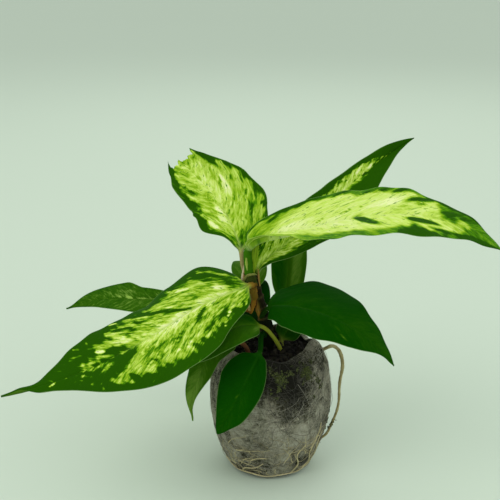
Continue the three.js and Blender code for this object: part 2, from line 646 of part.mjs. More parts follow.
add("fleece_wrap", fleeceSolid(), "#8f8d86", 0.95);
add("soil_plug", soilSolid([stemRoom, ...stalkRooms]), "#2c2620", 1);
add("main_stem", rod(MAIN_STEM, STEM_SIDES, STEM_STEPS), "#8a7a3c", 0.6);
leaves.forEach((leaf) => add(leaf.name, leaf.solid().subtract(stemRoom), leaf.colour, 0.4));
add("aerial_root", rod(AERIAL_ROOT, ROOT_SIDES, ROOT_STEPS).subtract(plugRoom), "#a89f6a", 0.8);
add("foot_roots", footRootsSolid().subtract(plugRoom), "#b9ad86", 0.85);

export default plant;
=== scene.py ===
"""A young dieffenbachia in a fleece-wrapped grow plug, dressed for a close look over its CAD frame.

Lengths in the tables are millimetres in the row frame: +Z up, and the origin in the middle of the
plug's flat underside. Meshes are in metres.
"""
import math

import bpy
import numpy as np
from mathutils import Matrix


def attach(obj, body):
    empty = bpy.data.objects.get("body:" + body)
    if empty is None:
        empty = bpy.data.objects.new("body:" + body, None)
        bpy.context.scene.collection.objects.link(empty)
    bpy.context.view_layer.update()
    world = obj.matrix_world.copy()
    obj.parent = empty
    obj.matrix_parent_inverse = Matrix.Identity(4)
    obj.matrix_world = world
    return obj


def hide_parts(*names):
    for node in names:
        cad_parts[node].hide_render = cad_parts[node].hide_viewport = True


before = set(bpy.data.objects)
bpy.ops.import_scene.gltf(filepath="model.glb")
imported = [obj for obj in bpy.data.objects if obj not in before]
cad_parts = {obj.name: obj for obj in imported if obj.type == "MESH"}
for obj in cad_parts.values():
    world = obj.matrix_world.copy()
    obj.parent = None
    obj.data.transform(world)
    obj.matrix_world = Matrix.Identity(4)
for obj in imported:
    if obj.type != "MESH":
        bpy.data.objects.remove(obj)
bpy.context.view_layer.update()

bl_info = {
    "name": "Potted dieffenbachia",
    "version": (1, 0, 0),
    "blender": (4, 5, 0),
    "location": "View3D > Sidebar > Plant",
    "description": "Builds a young dieffenbachia in its grow plug, leaf by leaf",
    "category": "Add Mesh",
}

MM = 0.001
FLOOR_LEVEL = -0.02
SPAN_STEPS = 40  # places on a curve from one of its points to the next
FIRST_SIDE = (0.31, 0.17, 0.93)  # rough direction of the first side of a tube
FINE_OUTLINE = 400  # places on the plug's outline where it is looked up
ROUGH_RADIUS = 24  # the plug's, by which a step across the fleece becomes a turn


# ---------------------------------------------------------------- shapes, as in the part's source
FLEECE_THICKNESS = 0.9
RIM_RADIUS = 18.5
SOIL_LEVEL = 55.5
SOIL_MOUND = 2
PLUG_OUTLINE = [[15, 0], [19.4, 2.6], [23.5, 12], [26.5, 24], [27.5, 36], [26.1, 46.5], [23.7, 53],
    [20.9, 57.8], [18.5, 59.5]]
FOLDS = [(0.011, 5, 0.6), (0.008, 9, 2.1)]  # share of the radius, count round the plug, phase
SHOULDER = dict(turn=-25, narrowness=20, heights=(38, 56), wider=0.05, higher=1.6)

MAIN_STEM = dict(
    line=[[-0.6, 0.8, 32], [-0.8, 0.4, 52], [-1.2, 0, 63], [-2.4, 0, 70.5], [-2.9, 0, 72], [-3.4, 0, 73.5],
        [-5.4, 0, 80], [-5.9, 0, 81.5], [-6.3, 0, 83], [-8, 0, 91.5]],
    radii=[3.4, 3.6, 3.4, 3, 3.3, 2.9, 2.8, 3.1, 2.8, 2.9])
SCARS = (66, 72, 76.5, 81.5, 86)  # heights of the rings that old sheaths left
AERIAL_ROOT = dict(
    line=[[20, 0, 53], [24.7, 0, 56.4], [28.4, 0, 57.6], [31.6, 0, 55], [32.8, 0, 49.6], [32.3, 0, 40],
        [31.7, 0, 30], [30.2, 0, 21], [26.8, 0, 13.6], [22, 0, 8.6]],
    radii=[0.8, 0.8, 0.8, 0.85, 0.85, 0.7, 0.6, 0.6, 0.6, 0.5])
# Turn in degrees and height of each strand's points, and its radius.
FOOT_ROOTS = [
    ([[-165, 4], [-140, 2.4], [-115, 3.2], [-95, 2], [-70, 3], [-48, 2.2], [-25, 3.4], [5, 5]], 0.6),
    ([[-62, 2.7], [-56, 8], [-60, 14], [-52, 19]], 0.55),
    ([[-44, 2.4], [-37, 7], [-42, 13], [-33, 20], [-30, 26]], 0.55),
    ([[-25, 3.4], [-23, 9], [-28, 15], [-21, 20]], 0.5),
    ([[-128, 2.8], [-122, 6], [-108, 7.6], [-98, 10.5]], 0.5),
]

DRIP_TIP_SHARE = 0.2  # how much of the blade a drawn-out tip takes
FOOT_LENGTH = 3.2  # over which the stalk opens into the blade
RING_CROWDING = 0.1  # how much closer the mesh rings stand at the blade's two ends
CUP_SHARE = 0.45  # how much of the blade is cupped
TEAR_EDGE = (-1, -0.65)  # from where to where across the blade the tear runs in
TEAR_TEETH = ((0.2, 5.3), (0.13, 11.7), (0.1, 19.1), (0.07, 37))  # height and wave number
RIB_THINNING = 0.6  # the midrib's radius falls as this power of what is left of the blade
STALK_FLATNESS = 0.25  # how much lower the stalk's upper face is than a round one
NARROWEST = 0.4  # least half width
COLUMNS_PER_MM, COLUMNS = 1.4, (12, 30)  # mesh columns for a half width, and their fewest and most
RINGS_PER_MM, RINGS = 1.35, (48, 170)  # mesh rings for a blade's length, and their fewest and most
STALK_STEP, FEWEST_STALK_RINGS = 0.8, 6  # distance between mesh rings of a stalk
FAR = 5  # stands for a place far from a margin or a midrib

# Each leaf's line through its stalk and its blade. The pairs are for the left and the right half:
# half width, how full it is at the foot and how it tapers to the tip, fold and bend in degrees. face
# is what the blade looks towards at its foot and at its tip, and trim what is added to the half
# width from eighth to eighth. drip draws the tip out, reach ends it early, cup folds the foot up and
# torn is how deep the tip is torn. wave is the margin's ripple: height, count and phase.
LEAVES = {
    "leaf_crown_left": dict(stalk=[[-10.4, 1.4, 90], [-12, 1, 96], [-12.8, 1, 102]],
        blade=[[-14.6, 5, 107], [-17.4, 10, 112], [-23, 17.8, 120], [-31, 25.6, 127], [-43.4, 36, 136.6]],
        half_width=[16, 21], full=[0.75, 0.55], taper=[0.5, 0.8], reach=0.9,
        face=[[0.35, -0.85, 0.4], [0.25, -0.85, 0.45]], fold=[8, 12], bend=[10, 20],
        stalk_radius=[1.2, 1.1], wave=[1.2, 3, 0.5], torn=0.075,
        trim=[[-1, 4, 1.2, -1.5, -2.6, -2.5, -5, -6.5], [0, -1, -0.7, -2.5, -4.6, -4.5, -4, -2.2]]),
    "leaf_crown_right": dict(stalk=[[-9, -2.2, 91], [-9.6, -2.8, 98], [-9.7, -3, 105]],
        blade=[[-5.6, -4.8, 109.8], [3.7, -9, 113.8], [17.5, -15.5, 119.1], [32.9, -23, 125.2],
            [42.8, -27.5, 127.8], [54.1, -31.5, 129.2], [65.5, -34, 128.3], [77, -36, 125],
            [90, -38, 116.4]],
        half_width=[19, 18], full=[0.6, 0.6], taper=[0.85, 0.85],
        face=[[0.1, -0.2, 0.98], [0.1, -0.2, 0.98]], fold=[8, -4], bend=[4, 4], cup=33,
        stalk_radius=[2.3, 1.8], wave=[1, 1.5, 2.4],
        trim=[[-1.6, -0.4, 2.5, 1, 0, -3, -1.4, 0], [-1, -1, 0.5, 1.5, -0.6, 2.4, 1, 0]]),
    "leaf_crown_back": dict(stalk=[[-6.4, 1.2, 89], [-5.9, 1.4, 92.7]],
        blade=[[-2.8, 3, 97.4], [5.7, 9, 102.1], [22.8, 22, 114], [39.5, 34, 125.3], [54, 42, 134.8],
            [68.1, 48, 142.5]],
        half_width=[9, 14.8], full=[0.5, 0.9], taper=[0.75, 1.3],
        face=[[-0.3, -0.8, 0.6], [-0.3, -0.8, 0.6]], fold=[36, 6], bend=[10, 10],
        stalk_radius=[1.6, 1.3], wave=[0.6, 2, 1],
        trim=[[4, 1.6, 0, -1.2, -1.4, -0.4, 0.4, 0], [-2.7, -0.3, 1.8, 0, 0, 0, 0, 0]]),
    "leaf_large_left": dict(stalk=[[-7, -2, 82], [-7.9, -5.6, 86.8], [-9.2, -7.8, 89.8]],
        blade=[[-30.7, -16, 83.6], [-51.1, -28, 74.2], [-67.1, -37, 68.6], [-85.6, -45, 63.4],
            [-108, -52, 59.4]],
        half_width=[26.5, 24.5], full=[0.6, 0.58], taper=[1.1, 1.2], drip=0.75,
        face=[[-0.25, -0.45, 0.85], [-0.25, -0.45, 0.85]], fold=[8, 8], bend=[-25, -20],
        stalk_radius=[1.7, 1.5], wave=[2, 1.25, 0.36],
        trim=[[-2.8, -0.9, -2, -2.4, -3.8, -4.6, -1.2, 0], [3.4, -3.2, -5.1, -3.2, -0.8, 0.6, 0, 0]]),
    "leaf_back_left": dict(stalk=[[-5.5, 1, 74], [-12, 6, 78.5], [-22, 11, 78]],
        blade=[[-32, 16, 75], [-44.1, 22, 71.6], [-56.6, 28, 69], [-71.7, 34, 66.6], [-84.8, 40, 63.6],
            [-100.2, 44, 57.8]],
        half_width=[8, 9.6], full=[0.8, 1.3], taper=[0.9, 0.8], drip=0.7,
        face=[[-0.1, -0.6, 0.8], [-0.1, -0.6, 0.8]], fold=[8, 8], bend=[-10, -10],
        stalk_radius=[1.5, 1.3], wave=[0.6, 2, 0],
        trim=[[0, 0, 0, 0, 0, 0, 0.6, 0], [-0.4, -1.6, -3.2, -3, 0, 0.8, 1.2, 0]]),
    "leaf_low_right": dict(stalk=[[-4.5, -0.8, 71], [-3.2, -3.2, 75], [-1.2, -5.4, 78]],
        blade=[[1.6, -7.6, 80.6], [10.7, -14, 82.8], [22.5, -22, 82.4], [32.5, -28, 79.6],
            [42, -31, 73.4], [51, -32, 63.3]],
        half_width=[18, 14], full=[0.42, 0.45], taper=[0.95, 1.05],
        face=[[0.1, -0.5, 0.85], [0.3, -0.5, 0.75]], fold=[2, 2], bend=[-18, -18],
        stalk_radius=[1.4, 1.2], wave=[0.5, 2, 0],
        trim=[[0.6, 0.8, 1.2, 1.5, 1, 0, -0.4, 0], [-3, -1.2, 0, 1, 0, -0.1, -1.5, 0]]),
    "leaf_low_front": dict(
        stalk=[[-2, -1.6, 63.4], [-3.4, -6.8, 66.8], [-4.3, -12.4, 66.8], [-4.8, -17.5, 62.8]],
        blade=[[-9.2, -25, 56.2], [-13.4, -32.5, 50.2], [-17.4, -36.5, 43.2], [-22.9, -38.4, 34.9]],
        half_width=[9.2, 9], full=[0.55, 0.55], taper=[0.75, 0.8],
        face=[[0.1, -0.75, 0.65], [-0.1, -0.9, 0.5]], fold=[6, 6], bend=[-12, -12],
        stalk_radius=[1.2, 1.1], wave=[0.3, 2, 0],
        trim=[[-1.2, -0.9, -0.7, -0.6, -0.5, -0.3, -0.7, 0], [1.5, 2.2, 2.2, 1.3, 0.7, 0.3, 0, 0]]),
    "leaf_low_left": dict(stalk=[[5.4, -4, 48], [4.9, -4.4, 57], [0.6, -7.6, 66.4], [-4.4, -10.6, 72]],
        blade=[[-13.3, -17, 75], [-21.7, -23, 72.5], [-29.6, -27, 68], [-37, -30, 63]],
        half_width=[9, 8.6], full=[0.55, 0.5], taper=[0.8, 0.8],
        face=[[-0.1, -0.55, 0.85], [-0.3, -0.5, 0.8]], fold=[6, 6], bend=[-12, -12],
        stalk_radius=[1, 0.9], wave=[0.4, 2, 0]),
    "leaf_low_far_left": dict(stalk=[[-9.4, -4.6, 48], [-10.2, -5.4, 58], [-14.6, -9, 63.4]],
        blade=[[-25.6, -15, 61.4], [-31, -21, 52.4], [-34.2, -25, 42.8], [-33.7, -27, 34.6]],
        half_width=[6.4, 6.4], full=[0.5, 0.5], taper=[0.9, 0.9], drip=0.7,
        face=[[-0.4, -0.6, 0.7], [-0.5, -0.8, 0.3]], fold=[10, 10], bend=[-10, -10],
        stalk_radius=[1.2, 1], wave=[0.3, 2, 0],
        trim=[[0, 0, 0, 0, -0.6, -0.8, -0.4, 0], [0, 0, 0, 0, 0, 0, 0, 0]]),
    "leaf_back_right": dict(stalk=[[4.4, 7.4, 48], [5.4, 9, 60], [7.2, 13.4, 73]],
        blade=[[8.1, 18, 80.6], [9.2, 26, 91], [11.3, 34, 100], [14, 41, 108]], half_width=[8.6, 9],
        full=[0.5, 0.5], taper=[0.8, 0.8], face=[[0, -0.85, 0.5], [0, -0.8, 0.6]], fold=[18, 18],
        bend=[6, 6], stalk_radius=[1.3, 1.1], wave=[0.3, 2, 0]),
    "leaf_back_small": dict(stalk=[[-5.4, 8.6, 48], [-7.4, 9, 66], [-9, 10.5, 80]],
        blade=[[-8.6, 18, 86], [-9, 30, 87], [-10, 42, 80]], half_width=[9, 7.6], full=[0.5, 0.5],
        taper=[0.8, 0.8], face=[[0, -0.6, 0.8], [0, 0.3, 0.95]], fold=[6, 6], bend=[-10, -10],
        stalk_radius=[1.2, 1], wave=[0.3, 2, 0]),
    "leaf_low_under": dict(stalk=[[6.4, 1.6, 48], [5.4, 0.6, 57], [5.2, 0.2, 60]],
        blade=[[7.8, 2, 64.4], [12.4, 5, 70.8], [17.6, 8, 76]], half_width=[5.6, 6.4], full=[0.4, 0.4],
        taper=[0.8, 0.8], face=[[-0.3, -0.85, 0.4], [-0.3, -0.85, 0.4]], fold=[8, 8], bend=[-10, -10],
        stalk_radius=[1.1, 1], wave=[0.3, 2, 0]),
    "leaf_back_low": dict(stalk=[[0.4, 6.4, 48], [-0.4, 7, 60], [-2.4, 8.4, 72]],
        blade=[[-3.4, 13, 78], [-4.6, 21, 80.6], [-6, 29, 78]], half_width=[4.6, 3.8], full=[0.5, 0.5],
        taper=[0.8, 0.8], face=[[0, -0.6, 0.8], [0, 0.2, 0.95]], fold=[6, 6], bend=[-10, -10],
        stalk_radius=[1.2, 1], wave=[0.3, 2, 0]),
}
UNLESS_SAID = dict(drip=0, reach=1, cup=0, torn=0, trim=[[0] * 8, [0] * 8])


# ---------------------------------------------------------------- how each leaf is painted
# tone is how pale the blade is: 0 is the darkest green and 1 is cream. margin is the width of the dark
# edge on the left and on the right half, as a share of the half, and depth how dark it is. tip is
# where the dark tip starts and how dark it is. gains are how strong the blotches, the streaks along
# the veins and the specks are. marks are patches that lie along the side veins: their middle at s and
# t, half width along the midrib, half length across the blade, and what they add to the tone. stalk
# and rib are colours, and rib's last number is how far the midrib takes it.
PAINT = {
    "leaf_crown_left": dict(tone=0.55, margin=(0.34, 0.14), depth=0.32, tip=(0.96, 0.1),
        gains=(0.75, 0.2, 1.5), stalk=(0.38, 0.31, 0.13), rib=(0.5, 0.62, 0.2, 0.4),
        marks=[(0.28, -0.55, 0.045, 0.13, 0.4), (0.33, -0.18, 0.045, 0.13, 0.36),
            (0.41, -0.15, 0.04, 0.12, 0.34), (0.56, 0.38, 0.05, 0.12, 0.34),
            (0.64, 0.5, 0.025, 0.06, 0.36), (0.6, 0.1, 0.16, 0.22, 0.14), (0.82, 0.2, 0.1, 0.3, 0.1),
            (0.68, -0.5, 0.03, 0.1, -0.24), (0.73, -0.62, 0.05, 0.12, -0.28),
            (0.58, -0.74, 0.06, 0.12, -0.3), (0.33, -0.88, 0.06, 0.14, -0.2),
            (0.77, 0.03, 0.02, 0.06, -0.24), (0.43, 0.28, 0.011, 0.1, -0.26),
            (0.37, -0.05, 0.011, 0.05, -0.24), (0.64, 0.45, 0.012, 0.05, -0.3),
            (0.18, 0.2, 0.01, 0.1, -0.2), (0.57, -0.2, 0.01, 0.06, -0.2), (0.5, -0.12, 0.009, 0.06, -0.2),
            (0.33, 0.62, 0.016, 0.05, -0.24), (0.46, 0.66, 0.014, 0.05, -0.26),
            (0.54, 0.78, 0.014, 0.05, -0.28), (0.41, 0.8, 0.014, 0.05, -0.26),
            (0.6, 0.66, 0.014, 0.05, -0.24), (0.86, 0.85, 0.08, 0.16, -0.4), (0.02, 0, 0.09, 1.2, -0.17),
            (0.92, -0.85, 0.1, 0.14, -0.2)]),
    "leaf_crown_right": dict(tone=0.69, margin=(0.2, 0.42), depth=0.33, tip=(0.78, 0.34),
        gains=(0.3, 0.3, 1.0), stalk=(0.04, 0.15, 0.004), rib=(0.6, 0.72, 0.3, 0.35),
        marks=[(0.505, 0.22, 0.024, 0.25, -0.75), (0.525, 0.29, 0.007, 0.05, 0.6),
            (0.69, 0.32, 0.04, 0.13, -0.6), (0.74, 0.36, 0.02, 0.1, -0.45),
            (0.745, 0.62, 0.02, 0.1, -0.34), (0.79, 0.7, 0.03, 0.12, -0.4), (0.7, 0.78, 0.02, 0.06, -0.3),
            (0.31, -0.12, 0.006, 0.08, -0.36), (0.41, -0.28, 0.006, 0.07, -0.36),
            (0.47, -0.4, 0.005, 0.05, -0.3), (0.63, -0.3, 0.02, 0.06, -0.18),
            (0.61, -0.16, 0.016, 0.05, -0.16), (0.65, -0.2, 0.012, 0.05, -0.16),
            (0.68, -0.7, 0.03, 0.22, -0.55), (0.69, -0.5, 0.014, 0.08, -0.35),
            (0.2, -0.1, 0.06, 0.22, 0.16), (0.56, -0.5, 0.06, 0.2, 0.14), (0.36, 0.1, 0.14, 0.26, 0.07),
            (0.1, 0.9, 0.2, 0.4, 0.3), (0.78, -0.2, 0.06, 0.5, -0.12), (0.22, -0.86, 0.014, 0.08, -0.3),
            (0.36, -0.9, 0.014, 0.08, -0.3), (0.45, -0.84, 0.014, 0.08, -0.26),
            (0.52, -0.88, 0.014, 0.08, -0.26), (0.6, -0.9, 0.016, 0.1, -0.3),
            (0.12, -0.72, 0.02, 0.12, -0.25), (0.02, 0, 0.07, 1.2, -0.25)]),
    # leaf_crown_back's dark olive stalk is partly its own olive and partly painted shade, for the shade the
    # stalk lies in.
    "leaf_crown_back": dict(tone=0.5, margin=(0.5, 0.62), depth=0.46, tip=(0.76, 0.5),
        gains=(0.9, 0.6, 0.5), stalk=(0.09, 0.13, 0.01), rib=(0.4, 0.55, 0.12, 0.35),
        marks=[(0.6, -0.2, 0.12, 0.3, 0.14), (0.6, -0.1, 0.03, 0.1, 0.16),
            (0.74, -0.15, 0.02, 0.16, 0.42), (0.7, -0.55, 0.014, 0.25, 0.35),
            (0.66, -0.3, 0.012, 0.2, 0.16), (0.56, -0.6, 0.03, 0.25, 0.1), (0.75, 0.55, 0.3, 0.42, -0.4),
            (0.62, 0.3, 0.1, 0.14, -0.18), (0.15, -0.4, 0.1, 0.4, 0.08), (0.12, -0.35, 0.01, 0.2, -0.24),
            (0.2, -0.4, 0.01, 0.2, -0.2), (0.14, 0.5, 0.16, 0.4, 0.14)]),
    "leaf_large_left": dict(tone=0.5, margin=(0.32, 0.3), depth=0.42, tip=(0.6, 0.42),
        gains=(1.0, 0.5, 1.0), stalk=(0.22, 0.13, 0.018), rib=(0.42, 0.58, 0.12, 0.6),
        marks=[(0.2, 0, 0.17, 0.15, 0.2), (0.35, -0.04, 0.12, 0.12, 0.2), (0.1, 0.22, 0.03, 0.07, 0.26),
            (0.15, -0.56, 0.028, 0.09, -0.5), (0.23, -0.6, 0.03, 0.06, -0.4),
            (0.22, -0.2, 0.012, 0.14, -0.5), (0.36, -0.4, 0.01, 0.1, -0.25),
            (0.56, -0.22, 0.035, 0.2, -0.5), (0.6, -0.42, 0.03, 0.14, -0.45),
            (0.575, 0.15, 0.03, 0.11, -0.5), (0.29, 0.2, 0.012, 0.16, -0.5),
            (0.34, 0.46, 0.014, 0.16, -0.5), (0.4, 0.72, 0.02, 0.12, -0.4),
            (0.43, 0.55, 0.012, 0.1, -0.4), (0.25, 0.08, 0.01, 0.06, -0.4),
            (0.13, 0.66, 0.03, 0.1, -0.45), (0.5, 0.62, 0.02, 0.12, -0.4), (0.47, 0.3, 0.008, 0.1, -0.2),
            (0.62, -0.27, 0.022, 0.15, 0.45), (0.615, 0.3, 0.014, 0.09, 0.75),
            (0.23, 0.62, 0.01, 0.1, 0.35), (0.25, 0.77, 0.008, 0.07, 0.45),
            (0.34, -0.62, 0.011, 0.05, 0.45), (0.385, -0.6, 0.009, 0.04, 0.4),
            (0.3, 0.38, 0.009, 0.1, 0.35), (0.82, -0.3, 0.007, 0.22, 0.6), (0.77, -0.1, 0.005, 0.05, 0.5),
            (0.72, -0.5, 0.004, 0.04, 0.6), (0.51, 0.93, 0.012, 0.04, 0.7),
            (0.48, -0.55, 0.012, 0.1, 0.3), (0.13, -0.68, 0.006, 0.05, 0.8),
            (0.17, -0.84, 0.003, 0.03, 0.8), (0.2, -0.86, 0.003, 0.02, 0.8),
            (0.02, 0.2, 0.05, 0.9, -0.22), (0.66, 0.1, 0.02, 0.06, 0.3), (0.5, 0.28, 0.05, 0.18, 0.26),
            (0.655, -0.15, 0.03, 0.12, 0.2), (0.68, 0.12, 0.025, 0.08, 0.2),
            (0.63, -0.48, 0.03, 0.1, 0.16)]),
    # leaf_back_left's light tone is partly painted light, for light coming through the leaf from behind.
    "leaf_back_left": dict(tone=0.56, margin=(0.3, 0.3), depth=0.05, tip=(0.8, 0.08),
        gains=(0.5, 0.7, 0.2), stalk=(0.06, 0.13, 0.025), rib=(0.1, 0.22, 0.02, 0.2),
        marks=[(0.58, 0.08, 0.02, 0.07, 0.4), (0.5, 0.07, 0.03, 0.06, 0.3), (0.66, 0.14, 0.03, 0.08, 0.2),
            (0.43, 0.05, 0.05, 0.06, 0.16), (0.56, 0.3, 0.1, 0.3, 0.06)]),
    "leaf_low_right": dict(tone=0.24, depth=0.02, tip=(0.9, 0), gains=(0.12, 0.14, 0.1),
        stalk=(0.012, 0.04, 0.003), rib=(0.02, 0.11, 0.004, 0.3),
        marks=[(0.605, 0.53, 0.006, 0.2, 0.6), (0.3, -0.2, 0.15, 0.25, 0.04), (0.9, 0, 0.4, 1.3, 0.07)]),
    "leaf_low_front": dict(tone=0.17, margin=(0.3, 0.3), depth=0.02, tip=(0.9, 0),
        stalk=(0.006, 0.045, 0.002), rib=(0.02, 0.12, 0.005, 0.3),
        marks=[(0.55, 0.04, 0.012, 0.05, 0.3), (0.9, 0, 0.6, 1.5, 0.08)]),
    "leaf_low_left": dict(tone=0.46, depth=0.04, gains=(0.15, 0.15, 0.1), stalk=(0.26, 0.3, 0.03),
        rib=(0.08, 0.2, 0.01, 0.35),
        marks=[(0.05, -0.4, 0.12, 0.4, 0.18), (0.1, 0.6, 0.3, 0.5, -0.16)]),
    "leaf_low_far_left": dict(tone=0.56, depth=0.04, tip=(0.9, 0), gains=(0.15, 0.15, 0.1),
        stalk=(0.26, 0.12, 0.05), rib=(0.1, 0.22, 0.015, 0.3), marks=[(0.9, 0, 0.5, 1.4, 0.14)]),
    # leaf_back_right's marks paint its left half darker and its right half lighter: painted light, for light
    # coming through the right half from behind.
    "leaf_back_right": dict(tone=0.47, stalk=(0.1, 0.16, 0.03), rib=(0.06, 0.18, 0.006, 0.3),
        marks=[(0.5, -0.6, 0.6, 0.5, -0.2), (0.5, 0.5, 0.6, 0.4, 0.2)]),
    "leaf_back_small": dict(tone=0.62, depth=0.04, gains=(0.15, 0.15, 0.1), stalk=(0.12, 0.2, 0.03),
        rib=(0.1, 0.22, 0.02, 0.25)),
    "leaf_low_under": dict(tone=0.3, gains=(0.2, 0.2, 0.2), stalk=(0.26, 0.28, 0.05),
        rib=(0.06, 0.18, 0.008, 0.3)),
    "leaf_back_low": dict(tone=0.16, stalk=(0.03, 0.07, 0.01), rib=(0.03, 0.12, 0.006, 0.3)),
}
PAINT_UNLESS_SAID = dict(margin=(0.2, 0.2), depth=0.03, tip=(0.9, 0.05), gains=(0.12, 0.12, 0.1), marks=[])
VARIEGATED = ("leaf_crown_left", "leaf_crown_right", "leaf_crown_back", "leaf_large_left")

# Strips of dry sheath and of petiole wing round the crown: the line they follow, their width along it,
# the way they face, how far their edges are bowed back, and their colour.
STRIPS = [
    ([[-7.6, -3.2, 89], [-7.2, -3.3, 85], [-7.6, -3.4, 80.5], [-8.3, -3.6, 77], [-8.9, -3.8, 75]],
        [2.2, 2.6, 2.4, 2.2, 1.2], (-0.5, -1, 0), 0.5, (0.42, 0.2, 0.022)),
    ([[-6.2, -3.1, 88], [-6.1, -3.1, 84], [-6.2, -3.3, 80], [-6.8, -3.4, 76]],
        [0.5, 0.9, 0.8, 0.3], (0, -1, 0), 0.1, (0.1, 0.045, 0.008)),
    ([[-9.6, -4.9, 93.4], [-9.2, -4.7, 90], [-8.5, -4.1, 86.5], [-8, -3.2, 83]],
        [5.4, 6, 5.4, 3], (-0.2, -1, 0.1), 2.6, (0.05, 0.075, 0.01)),
    ([[-11.6, -3, 89.6], [-11.2, -4, 91.6], [-10.2, -5.1, 93.4], [-8.6, -5.5, 94], [-7, -4.6, 93.8],
        [-6, -3.2, 93]], [0.9, 1.1, 1.0, 1.1, 0.9, 0.5], (0, -0.9, 0.5), 0.1, (0.26, 0.29, 0.07)),
    ([[-11.6, -0.5, 96.4], [-12.2, -1.4, 92.6], [-12.8, -2.2, 89]],
        [0.5, 1.1, 0.9], (-0.3, -1, 0), 0.1, (0.6, 0.52, 0.34)),
    ([[-11.1, -0.9, 97], [-11.4, -1.8, 92.8], [-11.7, -2.6, 88.6]],
        [0.4, 1, 0.9], (-0.1, -1, 0), 0.1, (0.42, 0.24, 0.08)),
    ([[-10.9, -1.4, 95], [-10.7, -2.4, 91.8], [-10.3, -3.2, 88]],
        [0.4, 1.1, 0.7], (-0.1, -1, 0), 0.1, (0.6, 0.5, 0.3)),
    ([[-5.4, -1.2, 67], [-6.4, -1.2, 71.5], [-7.4, -1.3, 76], [-8.2, -1.6, 80]],
        [3, 4.4, 4.6, 2.6], (-0.2, -1, 0), 0.5, (0.004, 0.04, 0.002)),
    ([[-6.5, -1.5, 73.6], [-9.5, -2.5, 75.4], [-13.5, -3.5, 76]],
        [4, 6.4, 5], (0, -1, 0.3), 0.4, (0.005, 0.05, 0.002)),
    ([[-5.4, -1.3, 95], [-5, -1.7, 91], [-4.6, -1.6, 87]],
        [0.4, 1.3, 0.6], (0.7, -0.7, 0), 0.1, (0.42, 0.27, 0.07)),
    ([[-8.4, -3.8, 75.6], [-10, -4.1, 76.7], [-12, -4.2, 76.2]],
        [1.6, 1.9, 0.5], (0, -1, 0.2), 0.2, (0.26, 0.11, 0.018)),
    ([[-9.4, -4.1, 76.4], [-9.3, -4.3, 78.4], [-9.8, -4.1, 80.2]],
        [1.2, 0.9, 0.3], (0, -1, 0.2), 0.2, (0.5, 0.34, 0.14)),
    ([[-7.9, -2.4, 92.5], [-7.3, -2.3, 97], [-6.9, -2.2, 102], [-6.7, -2.2, 107]],
        [1.4, 2.6, 3.4, 3.4], (0.1, -1, 0), 0.3, (0.25, 0.42, 0.015)),
    ([[-10.2, -4.9, 95.6], [-10.5, -4.9, 98.4], [-10.6, -4.8, 101.4]],
        [0.4, 1.2, 0.7], (-0.1, -1, 0), 0.2, (0.36, 0.5, 0.08)),
]

# Stains on the fleece: turn in degrees, height, half sizes across and up, and how mossy, how damp
# and how pale the place is.
STAINS = [
    (-84, 50, 20, 9, 0.4, 1.5, 0), (-92, 57, 46, 5, 0.3, 1.6, 0), (-64, 46, 13, 8, 0.3, 1.1, 0),
    (-50, 53, 8, 3, 0.7, 0.4, 0), (-80, 52.5, 4, 2, 0.9, 0.2, 0), (-26, 50, 14, 8, 0.45, 0.25, 0.25),
    (-110, 14, 16, 5, 0, 0.45, 0), (-130, 3, 24, 4, 0.1, 1.1, 0), (-92, 28, 18, 8, 0, -0.2, 0.4),
    (-112, 36, 8, 8, 0, 0, 0.4), (-60, 28, 10, 9, 0, -0.1, 0.45), (-95, 17, 18, 5, 0, 0, 0.5),
    (-44, 8, 14, 7, 0.1, 0.9, 0), (-28, 27, 10, 9, 0.2, 0.3, 0.1), (-75, 36, 7, 4, 0, 0.5, 0),
    (60, 44, 20, 10, 0.3, 0.5, 0), (130, 30, 22, 14, 0.1, 0.4, 0.3), (170, 50, 16, 8, 0.5, 0.6, 0),
    (90, 15, 24, 8, 0.1, 0.4, 0.3), (-160, 40, 12, 14, 0.1, 0.3, 0.2),
]
# Moss on the fleece: turn in degrees, height, spread across and up, and count of tufts.
MOSS = [
    (-80, 52.5, 3.4, 1.6, 160), (-50, 53, 4, 1.8, 120), (-86, 49, 6, 3, 150), (-98, 56, 8, 1.4, 160),
    (-66, 56, 8, 1.2, 120), (-8, 25, 3, 3, 60), (-40, 48, 8, 4, 120), (150, 50, 10, 4, 120),
    (60, 46, 12, 4, 120),
]


# ---------------------------------------------------------------- small maths
def smooth(low, high, x):
    """Zero below low and one above high, with the S-shaped step 3x^2 - 2x^3 between them."""
    x = np.clip((np.asarray(x, float) - low) / (high - low), 0, 1)
    return x * x * (3 - 2 * x)


def unit(v):
    """Each vector over its own length."""
    return v / np.maximum(np.linalg.norm(v, axis=-1, keepdims=True), 1e-12)


def lookup(x, known, table):
    """Each column of a table whose rows are at the known places, interpolated at x."""
    return np.stack([np.interp(x, known, column) for column in table.T], -1)


def distance_along(line):
    """How far along a line each of its points is."""
    return np.concatenate([[0], np.cumsum(np.linalg.norm(np.diff(line, axis=0), axis=1))])


def spline(points, repeat_ends=False):
    """A Catmull-Rom curve: a cubic between neighbours, whose slope at a point is half the step from
    the point before it to the one after. Past an end the last step goes on, or the end repeats."""
    p = np.asarray(points, float)
    before, after = (p[0], p[-1]) if repeat_ends else (2 * p[0] - p[1], 2 * p[-1] - p[-2])
    q = np.vstack([before, p, after])
    t = (np.arange(SPAN_STEPS) / SPAN_STEPS)[None, :, None]
    a, b, c, d = (q[k:len(q) - 3 + k][:, None, :] for k in range(4))
    v, w = 0.5 * (c - a), 0.5 * (d - b)
    curve = b + v * t + (3 * (c - b) - 2 * v - w) * t**2 + (2 * (b - c) + v + w) * t**3
    return np.vstack([curve.reshape(-1, p.shape[1]), p[-1:]])


def even_line(points, spacing):
    """The spline through the points, walked at an even spacing, and how far along each place is."""
    fine = spline(points)
    reached = distance_along(fine)
    at = np.linspace(0, reached[-1], max(int(reached[-1] / spacing), 4) + 1)
    return lookup(at, reached, fine), at


